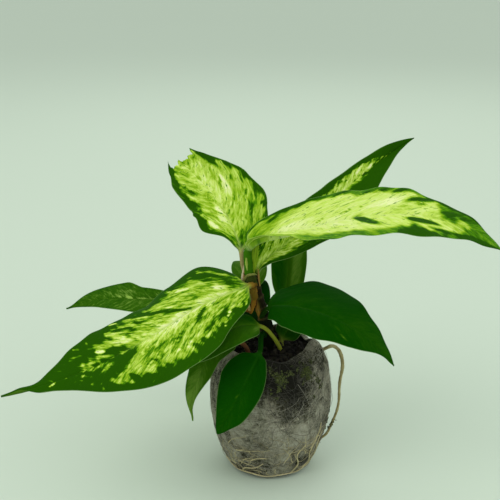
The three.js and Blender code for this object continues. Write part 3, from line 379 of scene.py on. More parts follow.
def swept(spec, spacing):
    """Line of a stem or root, how far along each place is, and the radius there, which the spec gives
    at the points that the line goes through."""
    line, at = even_line(spec["line"], spacing)
    known = [at[np.argmin(((line - knot) ** 2).sum(1))] for knot in spec["line"]]
    return line, at, np.interp(at, known, spec["radii"])


def sum_of_sines(angles):
    """A field that is scaled to about one: the sum of the sines of several fields of angles."""
    angles = list(angles)
    return sum(np.sin(angle) for angle in angles) / math.sqrt(len(angles) / 2)


def ripples(rng, x, y, waves, low, high):
    """A gentle random field: plane waves with random turns, phases and wave numbers from low to
    high."""
    turn, phase = rng.uniform(0, 2 * np.pi, (2, waves))
    count = rng.uniform(low, high, waves)
    return sum_of_sines(
        2 * np.pi * c * (x * np.cos(a) + y * np.sin(a)) + p for a, p, c in zip(turn, phase, count))


def round_ripples(seed, turn, height, waves, low, high, tall):
    """A random field round the plug: waves of a whole number times the turn plus some share of the
    height."""
    rng = np.random.default_rng(seed)
    whole = rng.integers(low, high + 1, waves)
    slope, phase = rng.uniform(-tall, tall, waves), rng.uniform(0, 2 * np.pi, waves)
    return sum_of_sines(k * turn + m * height + p for k, m, p in zip(whole, slope, phase))


def round_turns(columns, rows=1):
    """Turns of the points of a round grid, with a row for each of its rings."""
    return np.tile(2 * np.pi * np.arange(columns) / columns, (rows, 1))


def strayed(starts, steps):
    """Where each of many lines is after every step, with a row of steps for each start."""
    return starts[:, None] + np.cumsum(steps, axis=1)


def headings(rng, count, steps, waver):
    """Directions of lines that stray: each starts at random and turns by chance at every step."""
    return strayed(rng.uniform(0, 2 * np.pi, count), rng.normal(0, waver, (count, steps)))


# ---------------------------------------------------------------- meshes
def add_mesh(name, points, faces, material, attributes=None):
    """An object with these points in millimetres and these faces, three or four corners each, with
    an attribute for each array of threes or fours, and smooth shading."""
    points = np.maximum(np.asarray(points, float).reshape(-1, 3), (-np.inf, -np.inf, FLOOR_LEVEL))
    corners = np.concatenate([f.ravel() for f in faces])
    sizes = np.concatenate([np.full(len(f), f.shape[1]) for f in faces])
    mesh = bpy.data.meshes.new(name)
    mesh.vertices.add(len(points))
    mesh.vertices.foreach_set("co", (points * MM).astype(np.float32).ravel())
    mesh.loops.add(len(corners))
    mesh.loops.foreach_set("vertex_index", corners.astype(np.int32))
    mesh.polygons.add(len(sizes))
    mesh.polygons.foreach_set("loop_start", np.concatenate([[0], np.cumsum(sizes)[:-1]]).astype(np.int32))
    mesh.polygons.foreach_set("use_smooth", np.ones(len(sizes), bool))
    for key, values in (attributes or {}).items():
        values = np.asarray(values, np.float32).reshape(len(points), -1)
        kind, field = ("FLOAT_COLOR", "color") if values.shape[1] == 4 else ("FLOAT_VECTOR", "vector")
        mesh.attributes.new(key, kind, "POINT").data.foreach_set(field, values.ravel())
    mesh.update(calc_edges=True)
    mesh.validate()
    mesh.materials.append(material)
    piece = bpy.data.objects.new(name, mesh)
    bpy.context.scene.collection.objects.link(piece)
    return piece


def grid_faces(rows, columns, closed=True):
    """Quads between neighbouring points of a grid whose points are numbered row by row. A closed
    grid's last column joins its first."""
    i = np.arange(rows - 1)[:, None] * columns
    j = np.arange(columns if closed else columns - 1)[None, :]
    k = (j + 1) % columns
    return np.stack([i + j, i + k, i + columns + k, i + columns + j], -1).reshape(-1, 4)


def closed_rings(rings, columns):
    """Quads between the rings of a round body, and fans of triangles to the two points that close
    its ends, which come after its rings."""
    ring = np.arange(columns)
    after, last = np.roll(ring, -1), rings * columns
    first_fan = np.stack([np.full(columns, last), after, ring], -1)
    last_fan = np.stack([ring, after, np.full(columns, last + 1 - (rings - 1) * columns)], -1)
    return [grid_faces(rings, columns), np.concatenate([first_fan, last_fan + (rings - 1) * columns])]


def with_ends(rings, ends):
    """The values of a round body's rings, with those of the two points that close its ends."""
    return np.concatenate([rings.reshape(-1, rings.shape[-1]), ends])


def repeated(faces, count, each):
    """The same faces for every one of several bodies of so many points each."""
    shift = (np.arange(count) * each)[:, None, None]
    return [(f + shift).reshape(-1, f.shape[1]) for f in faces]


def tubes(lines, radii, sides):
    """Tubes round many lines of equally many points: a ring of that many sides at each point, in a
    frame that is carried along the line without twist, and a point closing each end. There is a
    radius for each ring, or for each of its sides."""
    lines, radii = np.asarray(lines, float), np.asarray(radii, float)
    radii = radii if radii.ndim == 3 else radii[..., None]
    count, steps = lines.shape[:2]
    along = unit(np.gradient(lines, axis=1))
    side = np.zeros_like(lines)
    carried = np.tile(FIRST_SIDE, (count, 1))
    for i in range(steps):
        carried = unit(carried - (carried * along[:, i]).sum(-1, keepdims=True) * along[:, i])
        side[:, i] = carried
    side, up = side[:, :, None], np.cross(along, side)[:, :, None]
    turn = round_turns(sides).T
    wide = np.broadcast_to(radii, (count, steps, sides))[..., None]
    rings = lines[:, :, None] + wide * (side * np.cos(turn) + up * np.sin(turn))
    points = np.concatenate([rings.reshape(count, -1, 3), lines[:, :1], lines[:, -1:]], axis=1)
    return points, repeated(closed_rings(steps, sides), count, points.shape[1])


def pebbles(rng, centres, radii, squash=0.7):
    """A pebble at each centre: rings of a coarse ball, each point moved in or out at random, and
    flattened a little along a random direction. Each has a random grain of its own."""
    count, sides, rings = len(centres), 6, 3
    tilt = np.pi * (np.arange(rings) + 1)[:, None] / (rings + 1)
    turn = round_turns(sides)
    ball = np.stack([np.sin(tilt) * np.cos(turn), np.sin(tilt) * np.sin(turn), np.cos(tilt) + 0 * turn], -1)
    ball = with_ends(ball, [[0, 0, 1], [0, 0, -1]])
    shape = ball[None] * rng.uniform(0.7, 1.2, (count, len(ball), 1))
    axis = unit(rng.normal(size=(count, 1, 3)))
    shape = shape - (1 - squash) * (shape * axis).sum(-1, keepdims=True) * axis
    points = np.asarray(centres)[:, None] + shape * radii[:, None, None]
    faces = [f[:, ::-1] for f in closed_rings(rings, sides)]
    grain = np.repeat(rng.uniform(0, 1, (count, 3)), len(ball), axis=0)
    return points, repeated(faces, count, len(ball)), grain


# ---------------------------------------------------------------- leaf form
class LeafForm:
    """The middle surface of one leaf, from the same values as its solid."""

    def __init__(self, spec):
        self.spec = {**UNLESS_SAID, **spec}
        self.line = spline(spec["stalk"] + spec["blade"])
        self.reached = distance_along(self.line)
        self.tangent = unit(np.gradient(self.line, axis=0))
        self.stalk_length = self.reached[(len(spec["stalk"]) - 1) * SPAN_STEPS]
        self.blade_length = self.reached[-1] - self.stalk_length
        self.faces = unit(np.array(spec["face"], float))

    def at(self, distance):
        """Place, up and side of the midrib at a distance along it. Up is the leaf's face less what of
        it points along the midrib."""
        place = lookup(distance, self.reached, self.line)
        along = unit(lookup(distance, self.reached, self.tangent))
        share = np.clip((distance - self.stalk_length) / self.blade_length, 0, 1)[..., None]
        face = self.faces[0] * (1 - share) + self.faces[1] * share
        up = unit(face - (face * along).sum(-1, keepdims=True) * along)
        return place, up, np.cross(along, up)

    def half_width(self, share, which):
        """A power curve at the foot times one at the tip, at most one, times the widest half width,
        narrowed where the tip is drawn out, plus the trim, eased from eighth to eighth."""
        spec = self.spec
        x = np.clip(share * spec["reach"], 0, 1)
        full, taper = spec["full"][which], spec["taper"][which]
        widest = full / (full + taper)
        narrowed = 1 - spec["drip"] * np.exp(-(((1 - x) / DRIP_TIP_SHARE) ** 2))
        curve = (x / widest) ** full * ((1 - x) / (1 - widest)) ** taper * narrowed
        trims = np.array([0, *spec["trim"][which]], float)
        at = np.clip(share, 0, 1) * (len(trims) - 1)
        low = np.minimum(at.astype(int), len(trims) - 2)
        ease = smooth(0, 1, at - low)
        trim = trims[low] * (1 - ease) + trims[low + 1] * ease
        return np.maximum(spec["half_width"][which] * curve + trim, NARROWEST)

    def blade(self, s, t):
        """Point of the blade at share s of its length and t from -1 to 1 across it, and the half
        width there. Each half leaves the midrib at its fold angle and follows an arc of its bend
        angle; the margin ripples by a sine along the blade times the square of t."""
        spec = self.spec
        tear = spec["torn"] * (smooth(*TEAR_EDGE, t) + sum(a * np.sin(w * t + w) for a, w in TEAR_TEETH))
        share = s * (1 - tear)
        place, up, side = self.at(self.stalk_length + share * self.blade_length)
        right = t >= 0
        half = np.where(right, self.half_width(share, 1), self.half_width(share, 0))
        cup = spec["cup"] * (1 - smooth(0, CUP_SHARE, share))
        fold = np.radians(np.where(right, spec["fold"][1], spec["fold"][0]) + cup)
        bend = np.radians(np.where(right, spec["bend"][1], spec["bend"][0]))
        r = np.abs(t)
        across = half * (np.sin(fold + bend * r) - np.sin(fold)) / bend
        rise = half * (np.cos(fold) - np.cos(fold + bend * r)) / bend
        height, count, phase = spec["wave"]
        swell = np.sin(np.pi * share) * r**2
        ripple = height * swell * np.sin(2 * np.pi * count * share + phase + 2 * right)
        return place + side * (np.sign(t) * across)[..., None] + up * (rise + ripple)[..., None], half

    def stalk_ring(self, distance, q, above):
        """A ring of the stalk: round below and flatter above, with q from -1 to 1 across it."""
        place, up, side = self.at(distance)
        share = np.clip(distance / self.stalk_length, 0, 1)
        first, last = self.spec["stalk_radius"]
        radius = first + (last - first) * share
        angle = np.pi / 2 * q
        height = (1 - STALK_FLATNESS) * radius if above else -radius
        return place + side * (radius * np.sin(angle))[..., None] + up * (height * np.cos(angle))[..., None]


def lean(half, t):
    """How far towards the tip a side vein has run where it is at t: its distance from the midrib times
    a factor that grows a little on to the margin."""
    return half * np.abs(t) * (1.15 + 0.35 * np.abs(t))


def relief(form, s, t, half, sizes, rng):
    """How far the blade's surface stands off its form, in millimetres. It sinks in along the veins by
    a cosine of the place between two of them, sways from side to side and is ruffled at the margin."""
    r, length = np.abs(t), form.blade_length
    vein_foot = s * length - lean(half, t)
    between = vein_foot * MM / sizes.vein_gap + 0.5 * (t > 0) + 0.15 * ripples(rng, s * 2, t * 0, 3, 0.6, 1.6)
    awake = smooth(0.02, 0.15, s) * (1 - smooth(0.9, 1, s))
    quilt = -sizes.vein_relief / MM * np.cos(2 * np.pi * between) * awake * r**0.5 * (1 - r**3)
    sway = 0.45 * ripples(rng, s * length / 60, t * half / 60, 5, 0.6, 2.2) * smooth(0.05, 0.3, s) * r
    ruffle = 0.25 * ripples(rng, s * length / 18, t * 0, 4, 0.6, 1.6) * awake * r**4
    return quilt + sway + ruffle


def round_skin(above, below):
    """Rows that run over the upper face from margin to margin and back under the lower face."""
    return np.concatenate([above, below[:, -2:0:-1]], axis=1)


def skin_faces(rows, wide, over):
    """Quads round a leaf's skin, and a cap at both ends: a strip from the upper face to the lower, with
    a triangle at each margin. Each row has so many points, of which some lie over the leaf."""
    j = np.arange(1, over - 2)
    strip = np.stack([j, wide - j, wide - j - 1, j + 1], -1)
    margins = np.array([[0, wide - 1, 1], [over - 1, over - 2, over]])
    caps = [np.concatenate([cap, cap[:, ::-1] + (rows - 1) * wide]) for cap in (strip, margins)]
    return [grid_faces(rows, wide), *caps]


def leaf_mesh(name, form, paint, sizes, seed):
    """The leaf's closed skin. A row of points runs from the left margin over the upper face to the
    right margin and back under the lower face. On the blade it is the middle surface with its relief,
    moved out by half the thickness, which falls to nothing at the margin as the root of 1 - t^4, with
    a groove above the midrib and a ridge below it. On the stalk it is an oval."""
    rng = np.random.default_rng(seed)
    length, last_radius = form.blade_length, form.spec["stalk_radius"][1]
    columns = int(np.clip(max(form.spec["half_width"]) * COLUMNS_PER_MM, *COLUMNS))
    rings = int(np.clip(length * RINGS_PER_MM, *RINGS))
    q = np.linspace(-1, 1, 2 * columns + 1)
    across = np.sign(q) * (1 - np.cos(np.pi * np.abs(q))) / 2
    even = np.linspace(0, 1, rings + 1)
    s, t = np.meshgrid(even - RING_CROWDING * np.sin(2 * np.pi * even), across, indexing="ij")
    distance = form.stalk_length + s * length
    middle, half = form.blade(s, t)
    normal = unit(np.cross(np.gradient(middle, axis=1), np.gradient(middle, axis=0)))
    normal *= np.sign((normal * form.at(distance)[1]).sum(-1, keepdims=True) + 1e-9)
    middle = middle + normal * relief(form, s, t, half, sizes, rng)[..., None]
    r = np.abs(t)
    y = r * half
    thin = (1 - 0.85 * smooth(0.96, 1, s)) * np.sqrt(1 - r**4)
    thickness = sizes.blade_thickness / MM / 2 * thin
    rib = last_radius * (1 - s) ** RIB_THINNING
    groove = 0.35 * rib * np.exp(-((y / (0.55 * rib + 0.15)) ** 2))
    ridge = (rib + 0.2) * np.exp(-((y / (0.75 * rib + 0.25)) ** 4))
    blend = smooth(0, FOOT_LENGTH, s * length)[..., None]
    count = max(int(form.stalk_length / STALK_STEP), FEWEST_STALK_RINGS)
    stalk_at, stalk_q = np.meshgrid(np.linspace(0, form.stalk_length, count + 1)[:-1], q, indexing="ij")
    faces = []
    for above, height in ((True, thickness - groove), (False, -thickness - ridge)):
        foot = form.stalk_ring(distance, np.broadcast_to(q, s.shape), above)
        blade = foot * (1 - blend) + (middle + normal * height[..., None]) * blend
        faces.append(np.concatenate([form.stalk_ring(stalk_at, stalk_q, above), blade]))
    upper, lower = faces
    upper[:, [0, -1]] = (upper[:, [0, -1]] + lower[:, [0, -1]]) / 2
    skin = round_skin(upper, lower)

    def whole(on_stalk, on_blade):
        return np.concatenate([on_stalk + np.zeros(stalk_q.shape), on_blade])

    behind = stalk_at - form.stalk_length
    s_all, t_all, y_all = whole(behind / length, s), whole(across, t), whole(0, y)
    foot_all = whole(behind, s * length - lean(half, t))
    tone = paint_blade(paint, s_all, t_all, whole(1, half), length, rng)
    edge_away = whole(FAR, half * (1 - r) + 3 * smooth(0.85, 0.97, s))
    on_rib = np.exp(-((y_all / (0.4 * whole(FAR, rib) + 0.1)) ** 2)) * (1 - smooth(0.3, 0.6, s_all))
    stalk_share = 1 - smooth(-1, 4, s_all * length)
    tint = np.maximum(stalk_share, paint["rib"][3] * on_rib)
    mix = stalk_share[..., None]
    rgb = np.array(paint["stalk"]) * mix + np.array(paint["rib"][:3]) * (1 - mix)
    under = np.zeros(skin.shape[:2])
    under[:, q.size:] = 1
    under[:, [0, q.size - 1]] = 0.5
    vein = np.stack([foot_all / 10, y_all / 10, 3.7 * seed + 2.3 * (t_all > 0)], -1)
    tinted = np.concatenate([rgb, tint[..., None]], -1)
    field = np.stack([tone, edge_away, 0 * tone], -1)
    field = round_skin(field, field)
    field[..., 2] = under
    return add_mesh(name + "_skin", skin, skin_faces(*skin.shape[:2], q.size), leaf_material(name), {
        "vein": round_skin(vein, vein), "field": field, "tinted": round_skin(tinted, tinted),
        "gains": np.broadcast_to(paint["gains"], skin.shape)})


def paint_blade(paint, s, t, half, length, rng):
    """How pale the blade is: its tone, less a dark edge that eases in over its width, less a dark tip,
    plus each mark, which is flat in its middle and falls off as exp(-d^4), with d measured across and
    along the side veins."""
    r = np.abs(t)
    wander = 0.06 * ripples(rng, s * 5, t * 0.5, 5, 0.8, 2.4)
    ragged = 0.05 * paint["gains"][0] * ripples(rng, s * 24, t * 3, 6, 0.8, 1.6)
    left, right = paint["margin"]
    width = np.where(t < 0, left, right) * (1 + 2 * wander)
    tone = paint["tone"] - paint["depth"] * smooth(1 - width, 1 - 0.45 * width, r + ragged)
    start, dark = paint["tip"]
    tone = tone - dark * smooth(start - 0.03, start + 0.12, s + wander + ragged + 0.1 * r)
    for s0, t0, half_s, half_t, adds in paint["marks"]:
        along = s - s0 - (lean(half, t) - lean(half, t0)) / length
        apart = (along / half_s) ** 2 + ((t - t0) / half_t) ** 2
        side = np.where(np.sign(t0) * t < -0.15, 0, 1)
        tone = tone + adds * side * np.exp(-(apart**2))
    return tone


# ---------------------------------------------------------------- shaders
class Shader:
    """A material in the making. Its methods add one node each and give back what comes out of it."""

    def __init__(self, name):
        self.material = bpy.data.materials.new(name)
        self.material.use_nodes = True
        self.tree = self.material.node_tree
        self.tree.nodes.clear()

    def node(self, kind, inputs, **settings):
        """A node with these settings. A socket among its inputs is linked and a value is set."""
        made = self.tree.nodes.new("ShaderNode" + kind)
        for key, value in settings.items():
            setattr(made, key, value)
        for key, value in inputs.items():
            if isinstance(value, bpy.types.NodeSocket):
                self.tree.links.new(value, made.inputs[key])
            else:
                made.inputs[key].default_value = value
        return made

    def attribute(self, name):
        return self.node("Attribute", {}, attribute_name=name)

    def parts(self, vector):
        return self.node("SeparateXYZ", {0: vector}).outputs

    def place(self):
        return self.node("TexCoord", {}).outputs["Object"]

    def stretched(self, vector, scale, turn=0.0):
        """The vector turned about its third axis and then scaled axis by axis."""
        turned = self.node("Mapping", {"Vector": vector, "Rotation": (0, 0, turn)}).outputs[0]
        return self.node("Mapping", {"Vector": turned, "Scale": scale}).outputs[0]

    def noise(self, vector, scale=1.0, detail=2.0, roughness=0.5, distortion=0.0):
        inputs = {"Vector": vector, "Scale": scale, "Detail": detail, "Roughness": roughness,
            "Distortion": distortion}
        return self.node("TexNoise", inputs).outputs[0]

    def math(self, operation, a, b=0.0):
        return self.node("Math", {0: a, 1: b}, operation=operation).outputs[0]

    def sum(self, first, *rest):
        for value in rest:
            first = self.math("ADD", first, value)
        return first

    def times(self, a, b):
        return self.math("MULTIPLY", a, b)

    def swing(self, value, gain):
        """A noise about its middle, times a gain."""
        return self.times(self.math("SUBTRACT", value, 0.5), gain)

    def step(self, value, low, high):
        """Zero below low and one above high, eased between, or the other way round."""
        inputs = {"Value": value, "From Min": low, "From Max": high}
        return self.node("MapRange", inputs, interpolation_type="SMOOTHSTEP").outputs[0]

    def mix(self, factor, a, b, **settings):
        inputs = {0: factor, 6: a, 7: b}
        return self.node("Mix", inputs, data_type="RGBA", **settings).outputs[2]

    def ramp(self, value, stops):
        made = self.node("ValToRGB", {0: value})
        elements = made.color_ramp.elements
        for (where, colour), element in zip(stops, [elements[0], elements[1]]):
            element.position = where
            element.color = (*colour, 1)
        for where, colour in stops[2:]:
            elements.new(where).color = (*colour, 1)
        return made.outputs[0]

    def bump(self, height, distance, strength=1.0):
        inputs = {"Height": height, "Distance": distance, "Strength": strength}
        return self.node("Bump", inputs).outputs[0]

    def finish(self, **inputs):
        """The surface shader, whose inputs are named with underscores, and the output."""
        named = {key.replace("_", " "): value for key, value in inputs.items()}
        shader = self.node("BsdfPrincipled", named)
        self.node("OutputMaterial", {"Surface": shader.outputs[0]})
        return self.material


def rgba(colour):
    return (*colour[:3], 1.0)


def shades(colour, *factors):
    """The colour made darker or lighter by each factor."""
    return [factor * np.array(colour) for factor in factors]


def leaf_material(name):
    """Green or variegated leaf. The paleness that each leaf is painted with is marbled by noise that is
    stretched along the side veins, and runs through a ramp from dark green to cream. The midrib and the
    stalk have their own tint, the lower face is paler and duller, and a thin pale line along the margin
    is a painted highlight where light catches the edge."""
    kind = "variegated_leaf" if name in VARIEGATED else "plain_leaf"
    if kind in bpy.data.materials:
        return bpy.data.materials[kind]
    colours = bpy.context.scene.plant_leaves
    sh = Shader(kind)
    vein = sh.attribute("vein").outputs["Vector"]
    tone, edge, below = sh.parts(sh.attribute("field").outputs["Vector"])
    blotch_gain, streak_gain, speck_gain = sh.parts(sh.attribute("gains").outputs["Vector"])
    tint = sh.attribute("tinted")
    blotches = sh.noise(sh.stretched(vein, (3.2, 3.0, 1)), detail=4, roughness=0.62, distortion=0.4)
    streaks = sh.noise(sh.stretched(vein, (10, 6, 1)), detail=3, roughness=0.6, distortion=0.3)
    broad = sh.noise(sh.stretched(vein, (0.9, 0.5, 1)), detail=1)
    marbled = sh.sum(tone, sh.times(sh.swing(blotches, 1.25), blotch_gain),
        sh.times(sh.swing(streaks, 1.0), streak_gain), sh.swing(broad, 0.12))
    if kind == "variegated_leaf":
        colour = sh.ramp(marbled, [(0.25, colours.dark_green), (0.9, colours.cream),
            (0.37, colours.mid_green), (0.49, colours.lime), (0.66, colours.pale_lime)])
        specks = sh.noise(sh.stretched(vein, (6.5, 4.6, 1.3)), distortion=0.6)
        here = sh.times(sh.step(specks, 0.61, 0.67), sh.step(marbled, 0.45, 0.56))
        colour = sh.mix(sh.times(sh.times(here, 0.75), speck_gain), colour, rgba(colours.speck))
        gloss, dull = 0.008, 0.34
    else:
        colour = sh.ramp(marbled, [(0.0, colours.leaf_shade), (0.9, colours.leaf_pale),
            (0.25, colours.leaf_green), (0.6, colours.leaf_light)])
        gloss, dull = 0.006, 0.38
    paler = sh.mix(0.15, colour, rgba(colours.lower_face))
    colour = sh.mix(below, colour, paler)
    colour = sh.mix(tint.outputs["Alpha"], colour, tint.outputs["Color"])
    # Painted highlight: a thin pale line along the margin, where light catches the edge.
    painted_edge_highlight = sh.times(sh.step(edge, 0.3, 0.1), 0.4)
    colour = sh.mix(painted_edge_highlight, colour, rgba(colours.edge))
    fine = sh.noise(sh.stretched(vein, (26, 5, 1)))
    pores = sh.noise(sh.place(), 2600)
    height = sh.sum(sh.times(fine, 0.7), sh.times(pores, 0.3))
    rough = sh.sum(dull, sh.swing(broad, 0.12), sh.times(below, 0.14))
    return sh.finish(Base_Color=colour, Roughness=rough, Normal=sh.bump(height, 0.00012),
        Specular_IOR_Level=gloss, Subsurface_Weight=0.05, Subsurface_Radius=(0.4, 1.0, 0.15),
        Subsurface_Scale=0.0008)


def fleece_material():
    """Thin non-woven fleece, damp from behind: brown-grey mottling under pale fibres that cross in
    several directions, with moss and damp where the stains are."""
    colours = bpy.context.scene.plant_plug
    sh = Shader("damp_fleece")
    wrap = sh.attribute("wrap").outputs["Vector"]
    place = sh.place()
    moss, damp, pale = sh.parts(sh.attribute("stain").outputs["Vector"])
    blotch = sh.noise(place, 95, detail=6, roughness=0.7, distortion=0.8)
    fine = sh.noise(place, 900, detail=3, roughness=0.6)
    fibres = 0.0
    for turn, scale, thin in ((0.2, 34, 3), (1.1, 30, 2.4), (1.9, 38, 3.2), (2.7, 32, 2.8), (1.5, 22, 1.6)):
        lines = sh.noise(sh.stretched(wrap, (scale, thin, 1), turn), distortion=0.6)
        fibres = sh.math("MAXIMUM", fibres, sh.step(lines, 0.57, 0.66))
    through = sh.sum(sh.swing(blotch, 2.1), sh.swing(fine, 0.5), sh.times(damp, -0.5),
        sh.times(pale, 0.35), 0.5)
    wet, dark = shades(colours.fleece_dark, 0.22, 1)
    cloth = sh.ramp(through, [(0.02, wet), (0.95, colours.fleece_pale), (0.28, dark),
        (0.56, colours.fleece_middle)])
    seen = sh.times(fibres, sh.sum(0.55, sh.times(damp, -0.32)))
    cloth = sh.mix(seen, cloth, rgba(colours.fibre))
    growth = sh.step(sh.sum(moss, sh.swing(blotch, 1.2), sh.swing(fine, 0.6)), 0.45, 0.75)
    cloth = sh.mix(sh.times(growth, 0.8), cloth, rgba(colours.moss))
    height = sh.sum(sh.times(fibres, 0.7), sh.times(fine, 0.5), sh.times(blotch, 0.4))
    return sh.finish(Base_Color=cloth, Roughness=0.92, Normal=sh.bump(height, 0.0004),
        Sheen_Weight=0.03, Sheen_Roughness=0.6, Specular_IOR_Level=0.1)


def speckled_material(name, colours, scale, depth, roughness, lustre=0.5):
    """Three colours in soft spots, with a fine relief. Each body's own grain shifts its spots."""
    sh = Shader(name)
    place = sh.place()
    spots = sh.noise(place, scale, detail=4, roughness=0.65)
    grain = sh.parts(sh.attribute("grain").outputs["Vector"])
    value = sh.sum(spots, sh.swing(grain[0], 0.5))
    colour = sh.ramp(value, [(0.3, colours[0]), (0.7, colours[2]), (0.5, colours[1])])
    height = sh.noise(place, scale * 4, detail=3)
    return sh.finish(Base_Color=colour, Roughness=roughness, Normal=sh.bump(height, depth),
        Specular_IOR_Level=lustre)


def bark_material():
    """The stem and its sheaths: their painted colours, streaked along the stem."""
    if "streaked_bark" in bpy.data.materials:
        return bpy.data.materials["streaked_bark"]
    sh = Shader("streaked_bark")
    painted = sh.attribute("bark").outputs["Color"]
    along = sh.attribute("run").outputs["Vector"]
    streak = sh.noise(sh.stretched(along, (14, 1.6, 1)), detail=4, roughness=0.6)
    shade = sh.ramp(streak, [(0.3, (0.35, 0.3, 0.25)), (0.65, (1.0, 1.0, 1.0))])
    colour = sh.mix(0.75, painted, shade, blend_type="MULTIPLY")
    return sh.finish(Base_Color=colour, Roughness=0.6, Normal=sh.bump(streak, 0.0003),
        Specular_IOR_Level=0.06)


def floor_material():
    """Plain pale surface with the faintest unevenness."""
    colour = bpy.context.scene.plant_stage.floor_colour
    sh = Shader("plain_floor")
    cloud = sh.noise(sh.place(), 0.8, detail=1)
    other = tuple(0.97 * c for c in colour[:3])
    return sh.finish(Base_Color=sh.mix(cloud, rgba(colour), rgba(other)), Roughness=0.85,
        Specular_IOR_Level=0.2)


# ---------------------------------------------------------------- plug form
def plug_profile(inset, count):
    """Radius and height of the fleece's outline moved in by a distance, and the outward normal,
    evenly spaced from the foot to the mouth."""
    fine = spline(PLUG_OUTLINE, repeat_ends=True)
    reached = distance_along(fine)
    line = lookup(np.linspace(0, reached[-1], count), reached, fine)
    along = unit(np.gradient(line, axis=0))
    out = np.stack([along[:, 1], -along[:, 0]], -1)
    return line - inset * out, out


def outline_at(height):
    """The outline's place and its outward normal at a height."""
    profile, out = plug_profile(0, FINE_OUTLINE)
    return lookup(height, profile[:, 1], profile), lookup(height, profile[:, 1], out)


def plug_place(radius, height, turn):
    """The solid's place for a radius, height and turn: folds that run up the fleece and a shoulder
    that bulges at the right."""
    waves = sum(share * np.sin(count * turn + phase) for share, count, phase in FOLDS)
    folds = smooth(2, 20, height) * waves
    away = 1 - np.cos(turn - math.radians(SHOULDER["turn"]))
    bulge = smooth(*SHOULDER["heights"], height) * np.exp(-SHOULDER["narrowness"] * away**2)
    wide = radius * (1 + folds + SHOULDER["wider"] * bulge)
    raised = height + SHOULDER["higher"] * bulge
    return np.stack([wide * np.cos(turn), wide * np.sin(turn), raised], -1)


def wrinkle(turn, height):
    """How far the fleece stands out: slow lumps, gathers that run up it and one slanting crease."""
    lumps = 0.32 * round_ripples(5, turn, height, 6, 2, 7, 0.16)
    gathers = 0.13 * round_ripples(8, turn, height, 8, 14, 34, 0.12)
    slack = 0.06 * round_ripples(9, turn, height, 8, 30, 70, 0.7)
    up = (height - 26.5) / 10.3
    crease = np.degrees(turn) - (-86 + 29 * up)
    crease = (crease + 180) % 360 - 180
    fold = 0.45 * np.exp(-((crease / 5) ** 2)) * smooth(-0.2, 0.2, up) * (1 - smooth(0.9, 1.3, up))
    return (lumps + gathers + slack + fold) * smooth(1.5, 9, height) * (1 - 0.4 * smooth(52, 58, height))


def fleece_place(profile, out, turn, lift=0.0):
    """A place on the fleece: the outline, moved out by the wrinkles there and by the lift, with the
    mouth's uneven edge."""
    radius, height = profile[..., 0], profile[..., 1]
    away = wrinkle(turn, height) + lift
    edge = 0.7 * round_ripples(3, turn, 0 * turn, 6, 2, 13, 0) * smooth(51, 59, height)
    return plug_place(radius + away * out[..., 0], height + away * out[..., 1] + edge, turn)


def fleece_stains(turn, height):
    """How mossy, damp and pale each place is: the sum of the stains, each a bell of turn and height."""
    total = np.zeros((*turn.shape, 3))
    for at, up, wide, tall, *adds in STAINS:
        off = (np.degrees(turn) - at + 180) % 360 - 180
        bell = np.exp(-((off / wide) ** 2 + ((height - up) / tall) ** 2))
        total += bell[..., None] * np.array(adds)
    return total


def soil_height(radius, turn):
    """The solid's mound and crumbs, with finer lumps."""
    crumbs = 0.5 * np.sin(4 * turn + radius) + 0.4 * np.sin(7 * turn - 0.8 * radius)
    crumbs = crumbs + 0.3 * np.cos(1.3 * radius)
    finer = 0.3 * round_ripples(21, turn, radius, 8, 5, 17, 2.2)
    finer = finer + 0.2 * round_ripples(22, turn, radius, 8, 12, 40, 4)
    mound = SOIL_LEVEL + SOIL_MOUND * (1 - radius / RIM_RADIUS)
    return mound + (crumbs + finer) * smooth(0, 5, radius)


def soil_place(radius, turn, lift=0.0):
    """A place on the potting mix, or so far above it."""
    return np.stack([radius * np.cos(turn), radius * np.sin(turn), soil_height(radius, turn) + lift], -1)


def own(piece, slot, *nodes):
    """The piece rides on the one body and may stand for nodes, whose parts it hides. The slot is not used."""
    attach(piece, "root")
    if nodes:
        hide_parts(*nodes)


# ---------------------------------------------------------------- sizes and colours
def colour_property(name, description, default):
    return bpy.props.FloatVectorProperty(name=name, description=description, default=default, size=3,
        min=0, max=1, subtype="COLOR")


class PLANT_PG_leaves(bpy.types.PropertyGroup):
    """Sizes and colours of the leaves."""

    blade_thickness: bpy.props.FloatProperty(name="Blade thickness", default=0.0006, min=0.0002,
        max=0.001, unit="LENGTH", description="Thickness of a blade beside its midrib")
    vein_gap: bpy.props.FloatProperty(name="Vein gap", default=0.0056, min=0.002, max=0.02,
        unit="LENGTH", description="Distance between two side veins along the midrib")
    vein_relief: bpy.props.FloatProperty(name="Vein relief", default=0.0001, min=0, max=0.001,
        unit="LENGTH", description="How deep the side veins lie in the upper face")
    dark_green: colour_property("Dark green", "Margin of a variegated leaf", (0.018, 0.088, 0.0008))
    mid_green: colour_property("Mid green", "Between the dark and the lime", (0.07, 0.24, 0.003))
    lime: colour_property("Lime", "Main colour of a variegated leaf", (0.29, 0.49, 0.016))
    pale_lime: colour_property("Pale lime", "Pale parts of a variegated leaf", (0.58, 0.77, 0.13))
    cream: colour_property("Cream", "Palest patches of a variegated leaf", (0.86, 0.92, 0.46))
    speck: colour_property("Speck", "Specks of a variegated leaf", (0.09, 0.26, 0.008))
    leaf_shade: colour_property("Shade", "Darkest green of a plain leaf", (0.0005, 0.034, 0.0002))
    leaf_green: colour_property("Green", "Main green of a plain leaf", (0.004, 0.058, 0.0003))
    leaf_light: colour_property("Light green", "Lighter green of a plain leaf", (0.042, 0.135, 0.004))
    leaf_pale: colour_property("Pale green", "Palest green of a plain leaf", (0.3, 0.48, 0.08))
    lower_face: colour_property("Lower face", "What the lower face is mixed with", (0.28, 0.46, 0.06))
    # The edge colour is a painted highlight along the leaf margin.
    edge: colour_property("Edge", "Thin line along the margin", (0.3, 0.45, 0.16))


